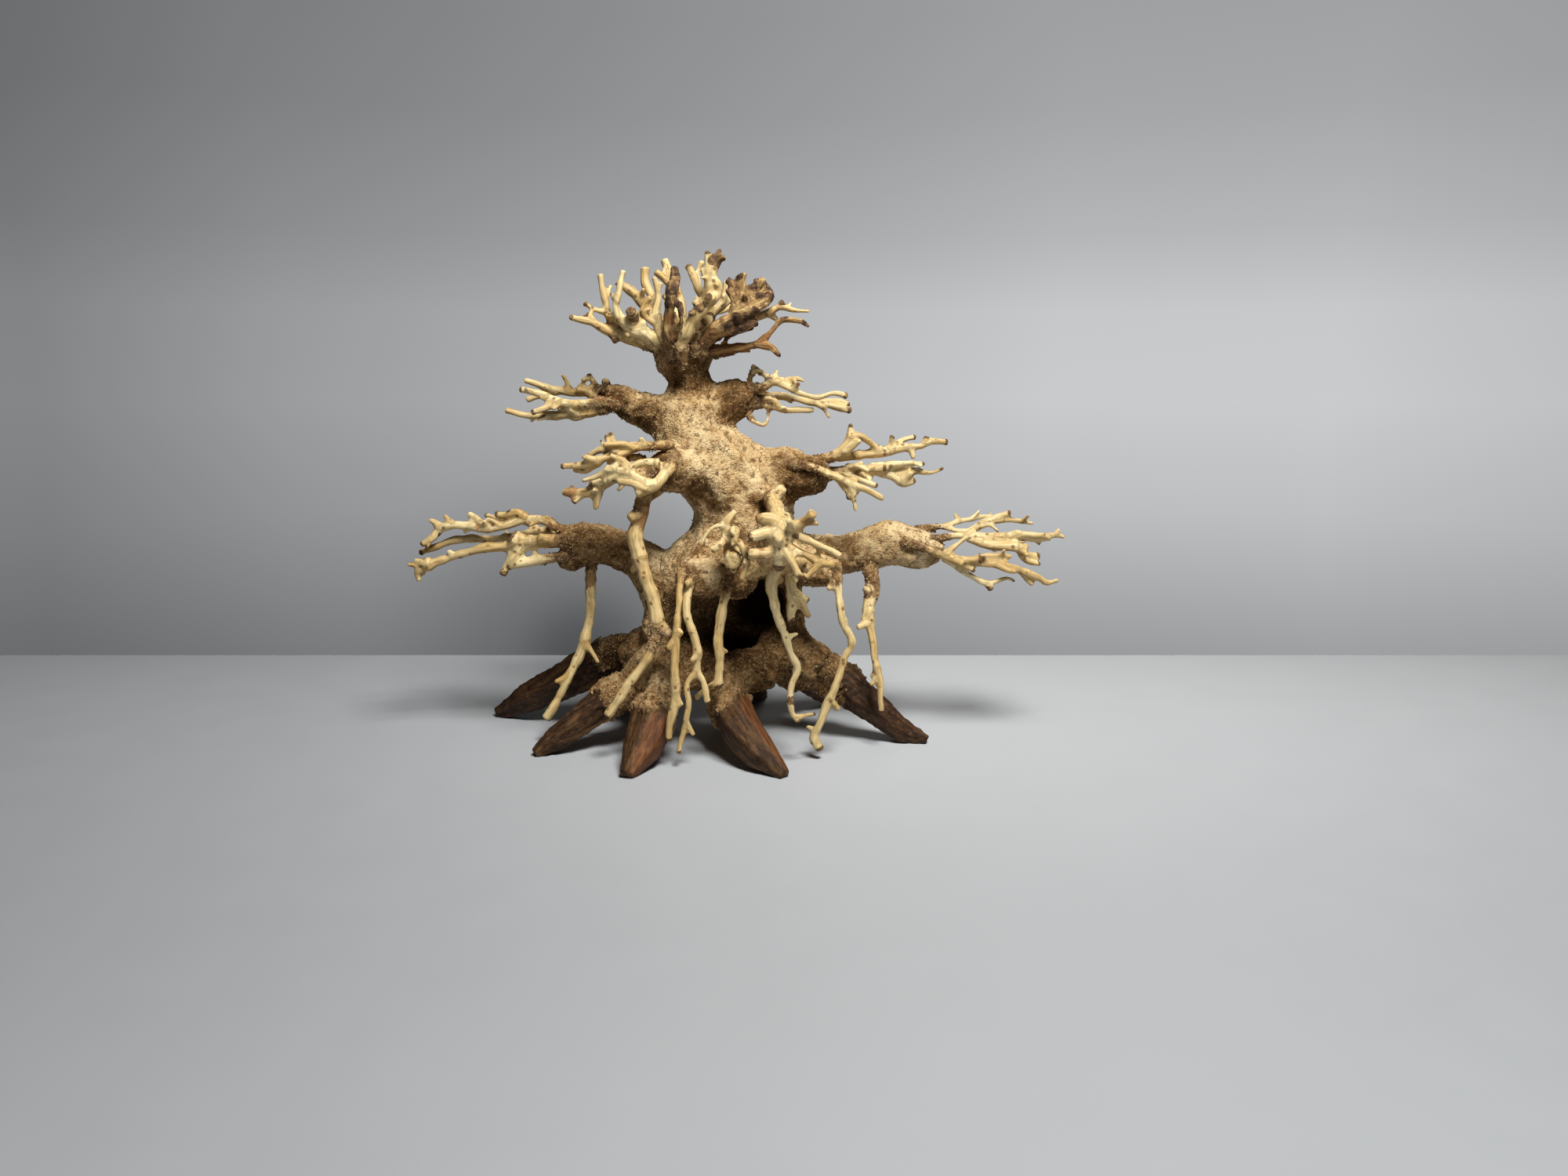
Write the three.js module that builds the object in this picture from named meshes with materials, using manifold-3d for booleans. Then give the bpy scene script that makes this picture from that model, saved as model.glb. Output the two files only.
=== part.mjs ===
// Driftwood arranged as a small bonsai tree. A hollow stump and a leaning trunk, both under a coat
// of glued wood dust, carry nine limbs. Eight carved root spikes hold it up, peeled twigs make a pad
// at the end of each limb, and longer peeled roots hang from the limbs.
// Millimetres, +Z up, X to the right and Y away from the viewer. The origin is on the ground, under
// the middle of the whole piece.
import * as THREE from "three";
import { mergeVertices } from "three/addons/utils/BufferGeometryUtils.js";
import Module from "manifold-3d";

const wasm = await Module();
wasm.setup();

// The overall size that the strokes below are drawn for, and the size of the finished piece.
const drawnWidth = 284;
const finishedWidth = 284;
const scale = finishedWidth / drawnWidth;

// The strokes are drawn round the trunk; this moves them so that the origin is under the middle.
const middle = -2;

const glueGap = 0.3; // between glued pieces
const leastBend = 1; // a point that bends or swells its stroke by less than this adds no ring
const leastChip = 0.2; // facets that stand out by less than this are joined
const groundReach = 400; // the block that trims the feet flat is wider than the piece
const groundDepth = 60;

// How many sides each kind of piece has.
const sides = { body: 8, limb: 8, spike: 6, hangingRoot: 5, twig: 4 };

const woods = {
  coat: new THREE.MeshStandardMaterial({ color: 0x9c8163, roughness: 0.95, metalness: 0 }),
  hardwood: new THREE.MeshStandardMaterial({ color: 0x4a2416, roughness: 0.7, metalness: 0 }),
  peeled: new THREE.MeshStandardMaterial({ color: 0xdcc78e, roughness: 0.6, metalness: 0 }),
  bark: new THREE.MeshStandardMaterial({ color: 0x7a5a34, roughness: 0.85, metalness: 0 }),
};

// Every piece is a list of strokes, and every stroke is a list of points [x, y, z, radius].
const stump = {
  stump: [
    [[-27, 1, 28, 15], [-27, 1, 44, 13.5], [-26, 0, 60, 12.5], [-20, 0, 74, 14], [-9, 1, 83, 15]],
    [[23, 4, 30, 12], [24, 4, 45, 9], [23.5, 3, 58, 8], [19, 3, 72, 11], [10, 2, 84, 14]],
    [[-12, 15, 30, 14], [-12, 16, 46, 13], [-10, 14, 62, 13], [-3, 9, 78, 15]],
    [[10, 16, 30, 13], [10, 17, 46, 12], [10, 14, 62, 12], [7, 9, 78, 14]],
    [[-20, -8, 34, 12], [-2, -14, 32, 10], [16, -9, 34, 9.5]],
    [[-22, 7, 43, 14], [-37, 10, 37, 11.5], [-50, 13, 31.5, 9.5]],
    [[-22, -2, 40, 13], [-34, -9, 32, 11], [-45, -14, 24.5, 8.5]],
    [[-22, -8, 42, 13], [-29, -18, 32, 11.5], [-32, -28, 22, 9]],
    [[-10, -10, 34, 12], [-4, -19, 29, 10.5], [-0.5, -27, 21.5, 8]],
    [[12, 2, 38, 11], [27, 0, 38, 11], [39, -3, 30.5, 9.5]],
    [[10, 14, 38, 11], [19, 22, 30, 9.5], [26, 29, 22, 8]],
    [[-4, 16, 36, 12], [-1, 25, 28, 10], [1, 33, 20.5, 8]],
    [[-20, 12, 40, 12], [-30, 20, 31, 11], [-37, 27, 23, 9]],
  ],
};
const cave = [
  [[11.5, -50, 59.5, 16], [11.5, -18, 59.5, 16], [10, -4, 60, 13.5], [6, 8, 58, 10]],
  [[-4.5, -50, 51, 12], [-4.5, -18, 51, 12], [-2, -4, 53, 12], [2, 6, 56, 10]],
];
const trunk = {
  trunk: [
    [
      [-1, 1, 80, 22], [4, 0, 92, 23], [5, 0, 104, 22.5], [-3, -1, 116, 20.5], [-14, -2, 126, 17.5],
      [-19, -2, 136, 15.5], [-19, -1, 144, 14.5], [-18, 0, 151, 10.5], [-18, 0, 158, 8.8],
      [-20.5, -1, 164, 13], [-21, -1, 169.5, 14.5],
    ],
  ],
};
const knotHole = [[[13, -40, 105, 4.5], [12, -22, 103.5, 3.6], [10, -12, 103, 2.5]]];

const limbs = {
  lower_left_limb: [
    [
      [-28, 3, 64, 14], [-37, 2, 75, 11], [-46, 1, 82, 9.5], [-56, 0, 86, 8.5], [-66, -1, 87.5, 9],
      [-74, -2, 88, 7.5],
    ],
    [[-64, -3, 83, 5.5], [-70, -4, 79, 4.4], [-76, -5, 78.5, 3]],
  ],
  lower_right_limb: [
    [
      [20, 4, 80, 12], [35, 4, 80, 10], [48, 3, 81, 8.5], [58, 2, 84, 9], [68, 1, 87, 11],
      [76, 0, 86.5, 10.5], [84, -1, 84, 8], [91, -2, 82, 5],
    ],
  ],
  front_left_limb: [
    [[-4, -6, 86, 14], [-9, -17, 79, 13.5], [-13, -27, 77, 11.5], [-15, -35, 77, 7.5]],
    [[-6, -16, 79, 12], [2, -26, 76.5, 10.5], [4, -34, 77, 7.5]],
  ],
  front_right_limb: [[[12, -8, 87, 12], [25, -17, 80, 10], [36, -22, 77.5, 8.5], [45, -25, 77, 6]]],
  middle_left_limb: [[[-12, -4, 122, 12.5], [-20, -13, 121, 11], [-26, -20, 120, 9.5], [-29, -26, 120, 7.5]]],
  middle_right_limb: [
    [[8, -1, 112, 15], [19, -3, 115, 13.5], [27, -5, 117.5, 11.5], [34, -7, 116, 9], [40, -8, 115, 6]],
  ],
  upper_left_limb: [
    [[-22, 0, 141, 11], [-32, -1, 141, 9], [-40, -2, 145.3, 8.3], [-47, -3, 149, 6.6], [-54, -3, 150.5, 4.5]],
  ],
  upper_right_limb: [[[-12, 0, 142, 10.5], [-4, 0, 146.5, 10], [2, 0, 149, 8.8], [6, -1, 150, 7.4], [10, -1, 149.5, 5.5]]],
  rear_limb: [[[4, 10, 98, 14], [6, 24, 101, 10.5], [4, 34, 103, 8], [3, 41, 104, 6]]],
};

const spikes = {
  far_left_spike: [[[-44, 11, 34.5, 10], [-62, 15, 29, 11], [-80, 20, 19.5, 10], [-97, 24, 10, 8], [-113.5, 28, 1, 2.8]]],
  left_spike: [[[-39, -11, 28, 8], [-52, -17, 22, 8.5], [-66, -23, 12.5, 7.8], [-76, -27, 5.5, 6], [-84, -31, 1, 2.8]]],
  front_left_spike: [[[-30, -23, 26, 9.5], [-33, -36, 16.5, 10], [-36.5, -47, 8, 8.2], [-41, -59, 1, 3.2]]],
  front_right_spike: [[[-3.5, -21, 26, 9], [2.8, -37, 14.5, 9.5], [12.6, -49, 6.5, 7.4], [22.5, -58.5, 1, 2.8]]],
  right_spike: [[[33, -1, 33, 9.5], [48, -5, 24.5, 9.5], [62, -8, 13, 8.5], [74, -10.5, 5, 6], [85, -13, 1, 2.8]]],
  rear_right_spike: [[[21, 23, 26, 8], [34, 36, 15.5, 8], [44, 46, 6.5, 6.4], [54, 55, 1, 2.8]]],
  rear_spike: [[[0, 28, 25, 8], [4, 42, 14, 7.8], [8, 52, 6, 6], [12, 61, 1, 2.8]]],
  rear_left_spike: [[[-33, 23, 27, 8.5], [-46, 37, 14.5, 8], [-56, 47, 6.5, 6.4], [-66, 56, 1, 2.8]]],
};

const hangingRoots = {
  far_left_hanging_root: [
    [
      [-61.5, -2, 80, 2.6], [-62.3, -4, 68, 2.3], [-63, -6, 54, 2.2], [-65, -8, 44, 2.7],
      [-70.3, -10, 32, 2], [-76.5, -12, 20, 1.9], [-82, -14, 11, 2.3],
    ],
    [[-65, -8, 44, 1.6], [-60.5, -11, 39, 1], [-58, -12, 35.5, 0.8]],
    [[-70.8, -10, 31, 1.4], [-75.4, -11, 28, 1.3], [-78, -12, 27, 0.9]],
  ],
  left_hanging_root: [
    [
      [-35, -34, 109, 3], [-36.5, -33, 101, 3.1], [-38.5, -34, 92, 3.5], [-35, -35, 80, 2.9],
      [-32, -36, 69, 2.8], [-30, -37, 60, 3], [-31.5, -37, 50, 2.2], [-37, -38, 40, 2],
      [-44, -39, 30, 2.1], [-51, -40, 20.5, 2.2],
    ],
  ],
  front_left_hanging_root: [
    [
      [-19.5, -34, 80, 2], [-20.3, -41, 68, 1.7], [-21.5, -44, 55, 1.7], [-22, -45, 44, 2],
      [-22.6, -46, 29, 2.2], [-25.5, -47, 12, 1.3],
    ],
    [[-21.5, -44, 54, 1.5], [-25.6, -45, 49.3, 1.3]],
    [[-22.4, -46, 31, 1.4], [-19.6, -47, 26.5, 0.8]],
  ],
  forked_hanging_root: [
    [
      [-15.5, -33, 80, 2.2], [-17.5, -41, 69, 1.8], [-16.3, -43, 60, 1.8], [-13.4, -43, 50, 2.1],
      [-13.8, -43, 41, 1.8], [-11, -43, 35, 1.4], [-8.8, -43, 26.5, 1.5],
    ],
    [[-13.9, -43, 40, 1.4], [-17.2, -44, 35, 1.4], [-17.4, -45, 27, 1.3], [-18, -45, 19, 1.4], [-21.2, -46, 6, 1]],
    [[-18, -45, 20, 1.2], [-15.2, -45, 13, 0.9]],
  ],
  middle_hanging_root: [
    [[-1.5, -34, 77, 2.1], [-3, -39, 65, 2], [-5, -40, 53, 2.2], [-4.4, -41, 44, 1.9], [-5, -41, 33, 2]],
    [[-5, -41, 34, 1.7], [-9, -39, 32, 1.4], [-15, -37, 26.5, 1.1]],
  ],
  hooked_hanging_root: [
    [
      [20.5, -53, 86, 2.8], [17.3, -50, 80, 2.4], [16.6, -48, 75, 2.3], [19, -46, 66, 1.9],
      [21.6, -45, 57, 1.7], [25, -44, 47, 1.5], [27.5, -43, 41, 1.6], [25, -43, 35, 1.5],
      [24.4, -43, 28, 1.6], [25.5, -43, 21.5, 1.1], [28.8, -43, 18.5, 1],
    ],
    [[26.5, -43, 20.5, 1], [31, -42, 21, 0.9], [35.5, -42, 21.5, 0.8]],
  ],
  short_hanging_root: [
    [[25.5, -52, 86, 2], [25, -48, 79, 2.2], [25.2, -46, 72, 2.6], [24.8, -45, 66, 1.9], [25.2, -45, 61, 1.5]],
    [[26, -46, 72, 1.9], [29.5, -45, 68, 1.6], [32.2, -44, 62.5, 1]],
    [[27, -46, 72.5, 1.3], [32.5, -44, 69.5, 0.8]],
  ],
  front_right_hanging_root: [
    [
      [43, -28, 80, 2], [45, -31, 68, 1.8], [47, -32, 58, 1.7], [50.3, -33, 50, 1.9], [47, -33, 42, 1.6],
      [43.5, -34, 33, 1.7], [40.5, -34, 25, 2], [36.6, -35, 14.5, 1.6], [35, -35, 9, 2.7], [37.4, -36, 4, 1.6],
    ],
    [[41, -34, 26, 1.6], [45, -34, 20.5, 1.1]],
  ],
  right_hanging_root: [
    [
      [58.5, -4, 80, 3], [60.5, -10, 68, 2.9], [58.5, -14, 59, 2.8], [60, -17, 49, 1.8],
      [60.6, -19, 41, 1.6], [62.3, -21, 34, 1.8], [63.5, -22, 27, 1.5], [63.3, -23, 17, 1.2],
    ],
    [[59, -14, 60, 1.9], [55.6, -16, 55.5, 1.3]],
    [[62.5, -21, 32, 1.3], [58.6, -22, 28.5, 0.8]],
  ],
};

const crownTwigs = {
  crown_twig_far_left: [
    [[-28, -6, 170.8, 4.4], [-40, -11, 173.2, 3], [-50, -15, 177, 2], [-57, -18, 180, 1.6], [-64.5, -20, 182, 1.4]],
    [[-47, -14, 176, 1.6], [-50.5, -13, 184, 1.6], [-52, -12, 192, 1.4], [-53.3, -12, 199.5, 1.3]],
    [[-50.8, -13, 184, 1], [-56, -15, 185, 0.9], [-59.5, -17, 187.6, 1]],
  ],
  crown_twig_left: [
    [[-31, -12, 173.4, 3.2], [-40, -17, 176.5, 2.1], [-45.5, -19, 182.5, 1.6], [-45.3, -19, 190, 1.4], [-42.6, -18, 200.5, 1.2]],
    [[-41, -17, 177.5, 1.4], [-38.5, -20, 181.5, 1.9]],
  ],
  crown_twig_back_left: [
    [[-27, 2, 174, 3], [-33, 2, 183, 2.3], [-40, 1, 191.5, 2.1], [-48.3, 0, 197.6, 1.7]],
    [[-32, 2, 181, 1.8], [-33.2, 5, 190, 2], [-36.8, 7, 197, 2.2], [-37.2, 8, 204, 1.9]],
  ],
  crown_twig_front_left: [
    [[-27.5, -12, 174, 3.2], [-30, -14, 182, 2], [-29.3, -14, 190, 1.4], [-31.2, -14, 198.5, 1.1]],
    [[-29.5, -14, 179, 1.5], [-34.8, -17, 183, 1.5], [-34.8, -17, 187, 1.3], [-32, -18, 190, 1.2]],
  ],
  crown_twig_tall: [
    [[-21, -2, 174, 2.8], [-21, -2, 186, 2], [-24, -1, 196, 1.9], [-28.3, 0, 206, 1.9]],
    [[-22.6, -2, 192, 1.5], [-27, -5, 197, 1.5], [-31, -7, 200.8, 1.5]],
  ],
  crown_twig_dark: [
    [[-24.8, -16, 171, 3], [-25, -22, 181, 2.5], [-23.8, -24, 190, 2.5], [-22, -22, 196, 2], [-21.8, -21, 201.5, 1.6]],
  ],
  crown_twig_front: [
    [
      [-20.5, -14, 163, 2.8], [-19.5, -20, 171, 3.3], [-16, -22, 179, 2.6], [-10, -22, 185, 2.2],
      [-4.5, -20, 193, 1.7], [-8, -19, 200, 1.5], [-9, -18, 207.8, 1.2],
    ],
    [[-8.5, -21, 187, 1.9], [-7.6, -26, 189.6, 2.2]],
    [[-6.8, -19, 196.5, 1.3], [-5.4, -18, 203, 1.6], [-4, -17, 208.4, 0.9]],
  ],
  crown_twig_back_right: [
    [[-14, -2, 173, 2.8], [-9, -6, 183, 2], [-13, -7, 193, 1.8], [-17.5, -6, 203.5, 1.7]],
    [[-12, -7, 191.5, 1.2], [-14.4, -3, 199, 1.2], [-12.2, -3, 205.6, 1.3]],
    [[-10, -6, 182, 1.5], [-3, -4, 190, 1.5], [-1.8, -4, 197, 1.3]],
  ],
  crown_twig_right_dark: [
    [[-12, -12, 171, 3.2], [-4, -17, 177.5, 3.2], [4, -20, 183, 3.1], [11.5, -20, 186.5, 2.6], [16.5, -19, 190.3, 1.8]],
    [[1, -19, 181.5, 1.8], [3.4, -18, 190, 2], [3.6, -17, 198.8, 1.6]],
    [[6, -19, 184.5, 1.6], [9.5, -17, 194.5, 1.5]],
    [[-5, -17, 175, 1.4], [4, -19, 177, 1.5], [11, -19, 180, 1.5]],
  ],
  crown_twig_right: [
    [[-10, -4, 174, 3], [2, -7, 180, 2.5], [13, -9, 183, 1.8], [20, -10, 186, 1.4], [26, -10, 184.8, 1.1], [32.5, -10, 184.3, 0.7]],
  ],
  crown_twig_low_right: [
    [[-14, -8, 168.5, 2.7], [-4, -11, 169.4, 2.1], [4, -13, 170.2, 1.7], [11, -14, 171.8, 1.7], [16.5, -14, 175.5, 1.3], [21, -14, 180.3, 1.3], [28, -14, 180.4, 1.2], [32.6, -14, 178.3, 0.6]],
    [[10, -14, 171.5, 1.5], [15.5, -16, 170.4, 1.5], [20.6, -18, 166.4, 0.8]],
  ],
  crown_twig_back: [
    [[-19, 6, 173, 3], [-17, 14, 181, 2.1], [-12, 21, 189, 1.6], [-10, 25, 197, 1.4]],
    [[-17.5, 12, 179, 1.7], [-25, 20, 186, 1.7], [-31, 25, 193, 1.4]],
    [[-15, 17, 184.5, 1.5], [-4, 22, 187, 1.4], [4, 25, 192, 1.2]],
    [[-22, 17, 183.5, 1.4], [-34, 20, 182.5, 1.4], [-44, 22, 186, 1.2]],
    [[-17.5, 13, 180, 1.5], [-18, 22, 181, 1.5], [-20, 31, 184, 1.2]],
  ],
};

const upperTwigs = {
  upper_left_twig_top: [
    [[-50, 1, 152, 2.3], [-59, 1, 152, 2.1], [-69, 1, 151.6, 1.9], [-77, 1, 152.8, 1.5], [-84, 1, 155, 1.3], [-88.6, 1, 156.4, 1.2]],
    [[-75, 1, 151.8, 1.4], [-82, 3, 150, 1.4], [-88.4, 3, 148.2, 1.4]],
  ],
  upper_left_twig_low: [
    [[-48, -6, 146.5, 2.9], [-56, -7, 147, 2.3], [-66, -7, 146.6, 2.1], [-74, -7, 147.6, 2], [-81, -7, 151, 1.5], [-89, -6, 153, 1.3]],
    [[-74.5, -7, 147.6, 1.7], [-79, -9, 144.7, 1.4], [-84, -10, 142.8, 1.2]],
    [[-52, -6, 144.5, 2], [-66, -5, 142.3, 2.3], [-77, -4, 141.8, 1.9], [-88, -4, 142, 1.5], [-96.5, -4, 144, 1.3]],
    [[-64, -5, 142, 1.8], [-68, -5, 139.9, 1.1]],
  ],
  upper_right_twig_top: [
    [
      [7, -4, 152.4, 2], [13, -5, 153.6, 1.9], [18, -5, 155.6, 1.8], [25, -5, 152.4, 1.3], [32, -5, 150.2, 1.2],
      [37, -5, 149.6, 1.2], [43, -5, 150.6, 1.3], [48.5, -5, 149.7, 1.4],
    ],
    [[18, -5, 155.8, 1.5], [24, -3, 156.4, 1.4], [27.3, -3, 156.9, 1.2], [30.8, -3, 155.8, 0.6]],
    [[17.5, -5, 156.6, 1.2], [13.5, -6, 158.8, 1.1], [10.5, -6, 160.6, 1.4], [8.5, -6, 162.4, 1.2]],
  ],
  upper_right_twig_middle: [
    [
      [8, 3, 150, 1.8], [19, 4, 150.2, 1.8], [27, 4, 148.4, 1.6], [33, 3, 147, 1.5], [39, 2, 146.2, 1.4],
      [45, 2, 144.6, 1.4], [50.5, 1, 143.6, 1.5],
    ],
    [[36, 2, 146.6, 1.2], [39.5, -1, 143.8, 0.9], [41.6, -2, 141, 0.8]],
    [[38, 2, 146.6, 1.3], [45, 4, 147.6, 1.2], [50, 4, 145.8, 1]],
  ],
  upper_right_twig_low: [
    [[7, -2, 145.6, 1.8], [13, -3, 146, 1.5], [18, -3, 145.8, 1.6], [22.5, -2, 144.1, 1.5], [29, -2, 143.9, 1.4], [34.5, -2, 144.2, 1.4]],
    [[9, -3, 148.6, 1.6], [17, -4, 148.8, 1.5], [20, -3, 145.8, 1.4]],
    [[6.5, -3, 143.5, 1.6], [8.2, -4, 139.6, 1.1], [13.3, -4, 137.6, 0.9], [15.2, -4, 139.8, 0.8], [15.8, -3, 145, 0.8]],
  ],
};

const middleTwigs = {
  middle_left_twig_top: [
    [
      [-24, -24, 130.5, 1.8], [-33, -28, 130.6, 1.9], [-40, -31, 129.2, 1.8], [-45, -33, 127.4, 2],
      [-51, -34, 125.6, 1.8], [-58, -35, 123.4, 1.7], [-67, -36, 122.4, 1.2],
    ],
    [[-45, -32, 128.5, 1.4], [-52, -30, 129, 1.5], [-57, -29, 126.4, 1.1]],
    [[-52, -34, 124.5, 1.5], [-58, -33, 121, 1.4], [-63.5, -33, 121, 0.9]],
  ],
  middle_left_twig_hook: [
    [[-23.5, -25, 126.5, 2.4], [-24.3, -33, 121.5, 2.4], [-28, -38, 117, 2.3], [-32.5, -40, 114.2, 2.5], [-37, -41, 112, 1.6]],
    [[-31.5, -40, 115.5, 1.8], [-38, -40, 119, 1.8], [-44.5, -39, 121, 1.7], [-49, -38, 121.6, 1.6]],
    [[-48, -38, 121, 1.2], [-54, -38, 118.4, 1.2], [-59, -38, 117, 0.9]],
  ],
  middle_left_twig_low: [
    [
      [-30, -23, 119, 2.2], [-39, -28, 119, 1.9], [-47, -31, 117, 1.8], [-53, -32, 113.8, 2.1],
      [-59, -33, 112, 2.3], [-67.5, -34, 112, 1.4],
    ],
    [[-32, -24, 121, 1.6], [-38, -26, 125.4, 1.5], [-42.5, -27, 125, 1.3]],
    [[-33, -25, 117.5, 2], [-38.5, -31, 114.4, 2.3]],
  ],
  middle_right_twig_top: [
    [[33, -2, 122, 1.9], [41, -5, 124, 2.3], [46, -6, 126.5, 2.4], [50, -6, 132.5, 2], [50.4, -6, 138.5, 0.8]],
    [[50, -6, 133, 1.7], [54, -6, 133.5, 1.6], [58, -5, 131, 1.5], [62, -3, 127.6, 1.6]],
    [[48, -7, 127, 1.8], [54, -10, 131.8, 1.2]],
    [
      [45, -5, 124.5, 2], [56, -3, 125.3, 2.2], [66, -3, 126.6, 2.3], [73, -3, 128, 1.7], [80, -3, 128.6, 1.5],
      [84.5, -3, 131, 1.5], [91.8, -3, 130.4, 1.3],
    ],
    [[69, -2, 128, 1.3], [73, 1, 131, 1.2], [78.8, 2, 132, 1.2]],
  ],
  middle_right_twig_middle: [
    [
      [36, -3, 115.5, 2.7], [48, -2, 118, 2.3], [58, -2, 118.5, 2.3], [67, -3, 116.8, 2.3], [73, -4, 113.2, 2.1],
      [78.5, -4, 114, 1],
    ],
    [[70, -3, 116.5, 1.5], [78, -3, 118, 1.3], [84, -3, 117.5, 1], [90.6, -3, 119.6, 0.7]],
    [[60, -3, 119.5, 1.7], [68, -5, 121, 1.7], [75, -5, 121.6, 1.1], [81.8, -5, 121.4, 1]],
    [[57, -3, 118, 1.6], [65.5, -8, 119.6, 1.8]],
    [[49, -3, 119.5, 1.6], [54, -8, 120.6, 1.4], [58.3, -9, 118.2, 0.9]],
    [[49, -3, 116.8, 1.6], [56, -7, 114.3, 1.4], [62, -8, 112.4, 1.1]],
  ],
  middle_right_twig_low: [
    [[25, -15, 122, 1.7], [34, -16, 120.5, 1.7], [42, -17, 117.6, 1.7], [50, -18, 114, 1.7], [57, -18, 111.3, 1.5], [64, -18, 108, 1.2]],
    [[50, -18, 114, 1.4], [51, -18, 109, 1.2], [52, -18, 102.6, 0.9]],
    [[45, -17, 116, 1.3], [47.5, -17, 111.5, 1.1], [50.6, -18, 110.4, 1.1]],
  ],
};

const lowerTwigs = {
  lower_left_twig_top: [
    [
      [-74, -3, 93, 2], [-83, -4, 96.8, 1.9], [-90, -4, 97, 2], [-97, -4, 94.6, 1.6], [-107, -4, 93.6, 2],
      [-115, -4, 94.6, 1.8], [-122, -4, 95, 1.8], [-127, -4, 92.5, 1.9], [-130, -5, 89, 1.7], [-134.3, -6, 87, 1.3],
    ],
    [[-107.5, -4, 94.5, 1.6], [-111.5, -3, 97.8, 1.5], [-114.8, -3, 99.8, 1.3]],
    [[-99, -4, 94.6, 1.1], [-106, -6, 98.6, 0.6]],
    [[-88.5, -4, 97.4, 1.8], [-92.5, -4, 100.4, 2], [-97.5, -3, 99.2, 1.5], [-102.8, -3, 100, 1.3]],
  ],
  lower_left_twig_middle: [
    [
      [-73, -8, 88.5, 2.8], [-84, -9, 88.6, 2.7], [-91.5, -9, 88, 3], [-99, -9, 86.2, 2.3], [-108, -9, 85.4, 2],
      [-115, -9, 83.4, 1.8], [-123, -9, 81, 1.8], [-130, -9, 78.8, 2], [-135.5, -9, 75.5, 1.6], [-135, -9, 71, 1],
    ],
    [[-131, -9, 78.8, 1.6], [-139.6, -9, 78.6, 0.9]],
    [[-91.5, -9, 87, 2.2], [-94.5, -10, 82, 2], [-97, -10, 78, 1.8], [-98.8, -11, 74.4, 1.5]],
    [[-72.5, -8, 82, 2.2], [-83, -9, 80.6, 2.2], [-90, -10, 79.2, 2.1], [-96.5, -10, 78, 1.9]],
  ],
  lower_left_twig_back: [
    [
      [-74, 4, 91, 2], [-84, 4, 91.6, 1.8], [-95, 4, 89.6, 1.7], [-106, 3, 87.6, 1.7], [-114, 1, 88.6, 1.9],
      [-122, 0, 87.6, 1.7], [-129, -1, 85, 1.6], [-136.5, -2, 82.6, 1.3],
    ],
    [[-85, 4, 91.5, 1.5], [-93, 9, 95, 1.5], [-103, 13, 95.4, 1.3], [-112, 16, 97, 1]],
    [[-96, 4, 89.5, 1.4], [-105, 10, 87, 1.4], [-115, 15, 86.4, 1.2], [-124, 18, 84, 0.9]],
  ],
  lower_right_twig_top: [
    [[80, 3, 92, 1.8], [90, 3, 93.4, 1.3], [98, 2, 91.4, 1.3], [104, 1, 92, 1.5], [110, 1, 95.4, 1.9], [115, 1, 98, 1.6], [120.6, 1, 99.8, 1.2]],
    [[113.5, 1, 96.4, 1.4], [122, 2, 96.4, 1.2], [130.8, 2, 95.3, 0.7]],
    [[107, 1, 93.4, 1.4], [111.5, -1, 94, 0.9], [115.2, -2, 91.6, 0.6]],
    [[92, 3, 93, 1.3], [100, 8, 95, 1.3], [110, 13, 96.5, 1.1], [119, 16, 95, 0.8]],
  ],
  lower_right_twig_middle: [
    [
      [80, -3, 89, 1.9], [89, -4, 89.2, 1.5], [97, -4, 90.4, 1.5], [105, -4, 90.2, 1.6], [114, -4, 89.8, 1.9],
      [124, -4, 90.8, 1.6], [133, -4, 90.4, 1.4], [140, -4, 90.5, 1.2], [143.4, -4, 89.4, 0.8],
    ],
    [[121, -4, 90, 1.4], [130, -3, 88, 1.1], [138, -2, 88.3, 0.7]],
    [[101, -4, 89.6, 1.5], [108, -6, 87, 1.7], [116, -7, 86, 2.1], [123, -7, 85.4, 2.3], [124.5, -7, 82, 1.7], [127.5, -7, 79.4, 1.3], [132.6, -7, 78.2, 0.7]],
    [[123, -7, 85.4, 1.8], [126.6, -9, 86.4, 1.4]],
    [[124, -7, 83, 1.6], [128, -5, 82, 1.7], [132.6, -4, 81.4, 1.5]],
    [[106, -4, 89.4, 1.3], [114, 4, 86.5, 1.4], [123, 10, 85, 1.2], [131, 14, 86, 0.8]],
  ],
  lower_right_twig_low: [
    [
      [74, -9, 88, 2], [82, -10, 85.6, 1.8], [90, -11, 83, 2], [97, -12, 80, 1.8], [105, -12, 79.6, 1.4],
      [114, -12, 78.8, 1.6], [124, -12, 76, 1.7], [131, -12, 73, 1.5], [134.5, -12, 71, 1.3], [139.8, -12, 72, 0.8],
    ],
    [[90, -11, 83.4, 1.4], [95, -11, 87, 1.3], [100.4, -11, 91.2, 0.9]],
    [[123, -12, 76.4, 1.3], [126, -11, 72.6, 1.1], [128.6, -11, 69.8, 1]],
    [[113, -12, 79, 1.3], [117, -14, 77, 1.3], [120.8, -14, 75.8, 1.2]],
    [[90, -11, 81.6, 1.3], [97, -10, 76.8, 1.5], [104, -10, 73, 1.4], [110, -10, 70.6, 1.3], [117.6, -10, 72.4, 0.9], [121.4, -10, 71, 0.5]],
    [[95, -12, 81, 1.4], [106, -15, 82, 1.7]],
    [[100, -12, 80.2, 1.4], [109, -11, 82.4, 1.6], [119.6, -10, 82.2, 1]],
  ],
};

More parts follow.
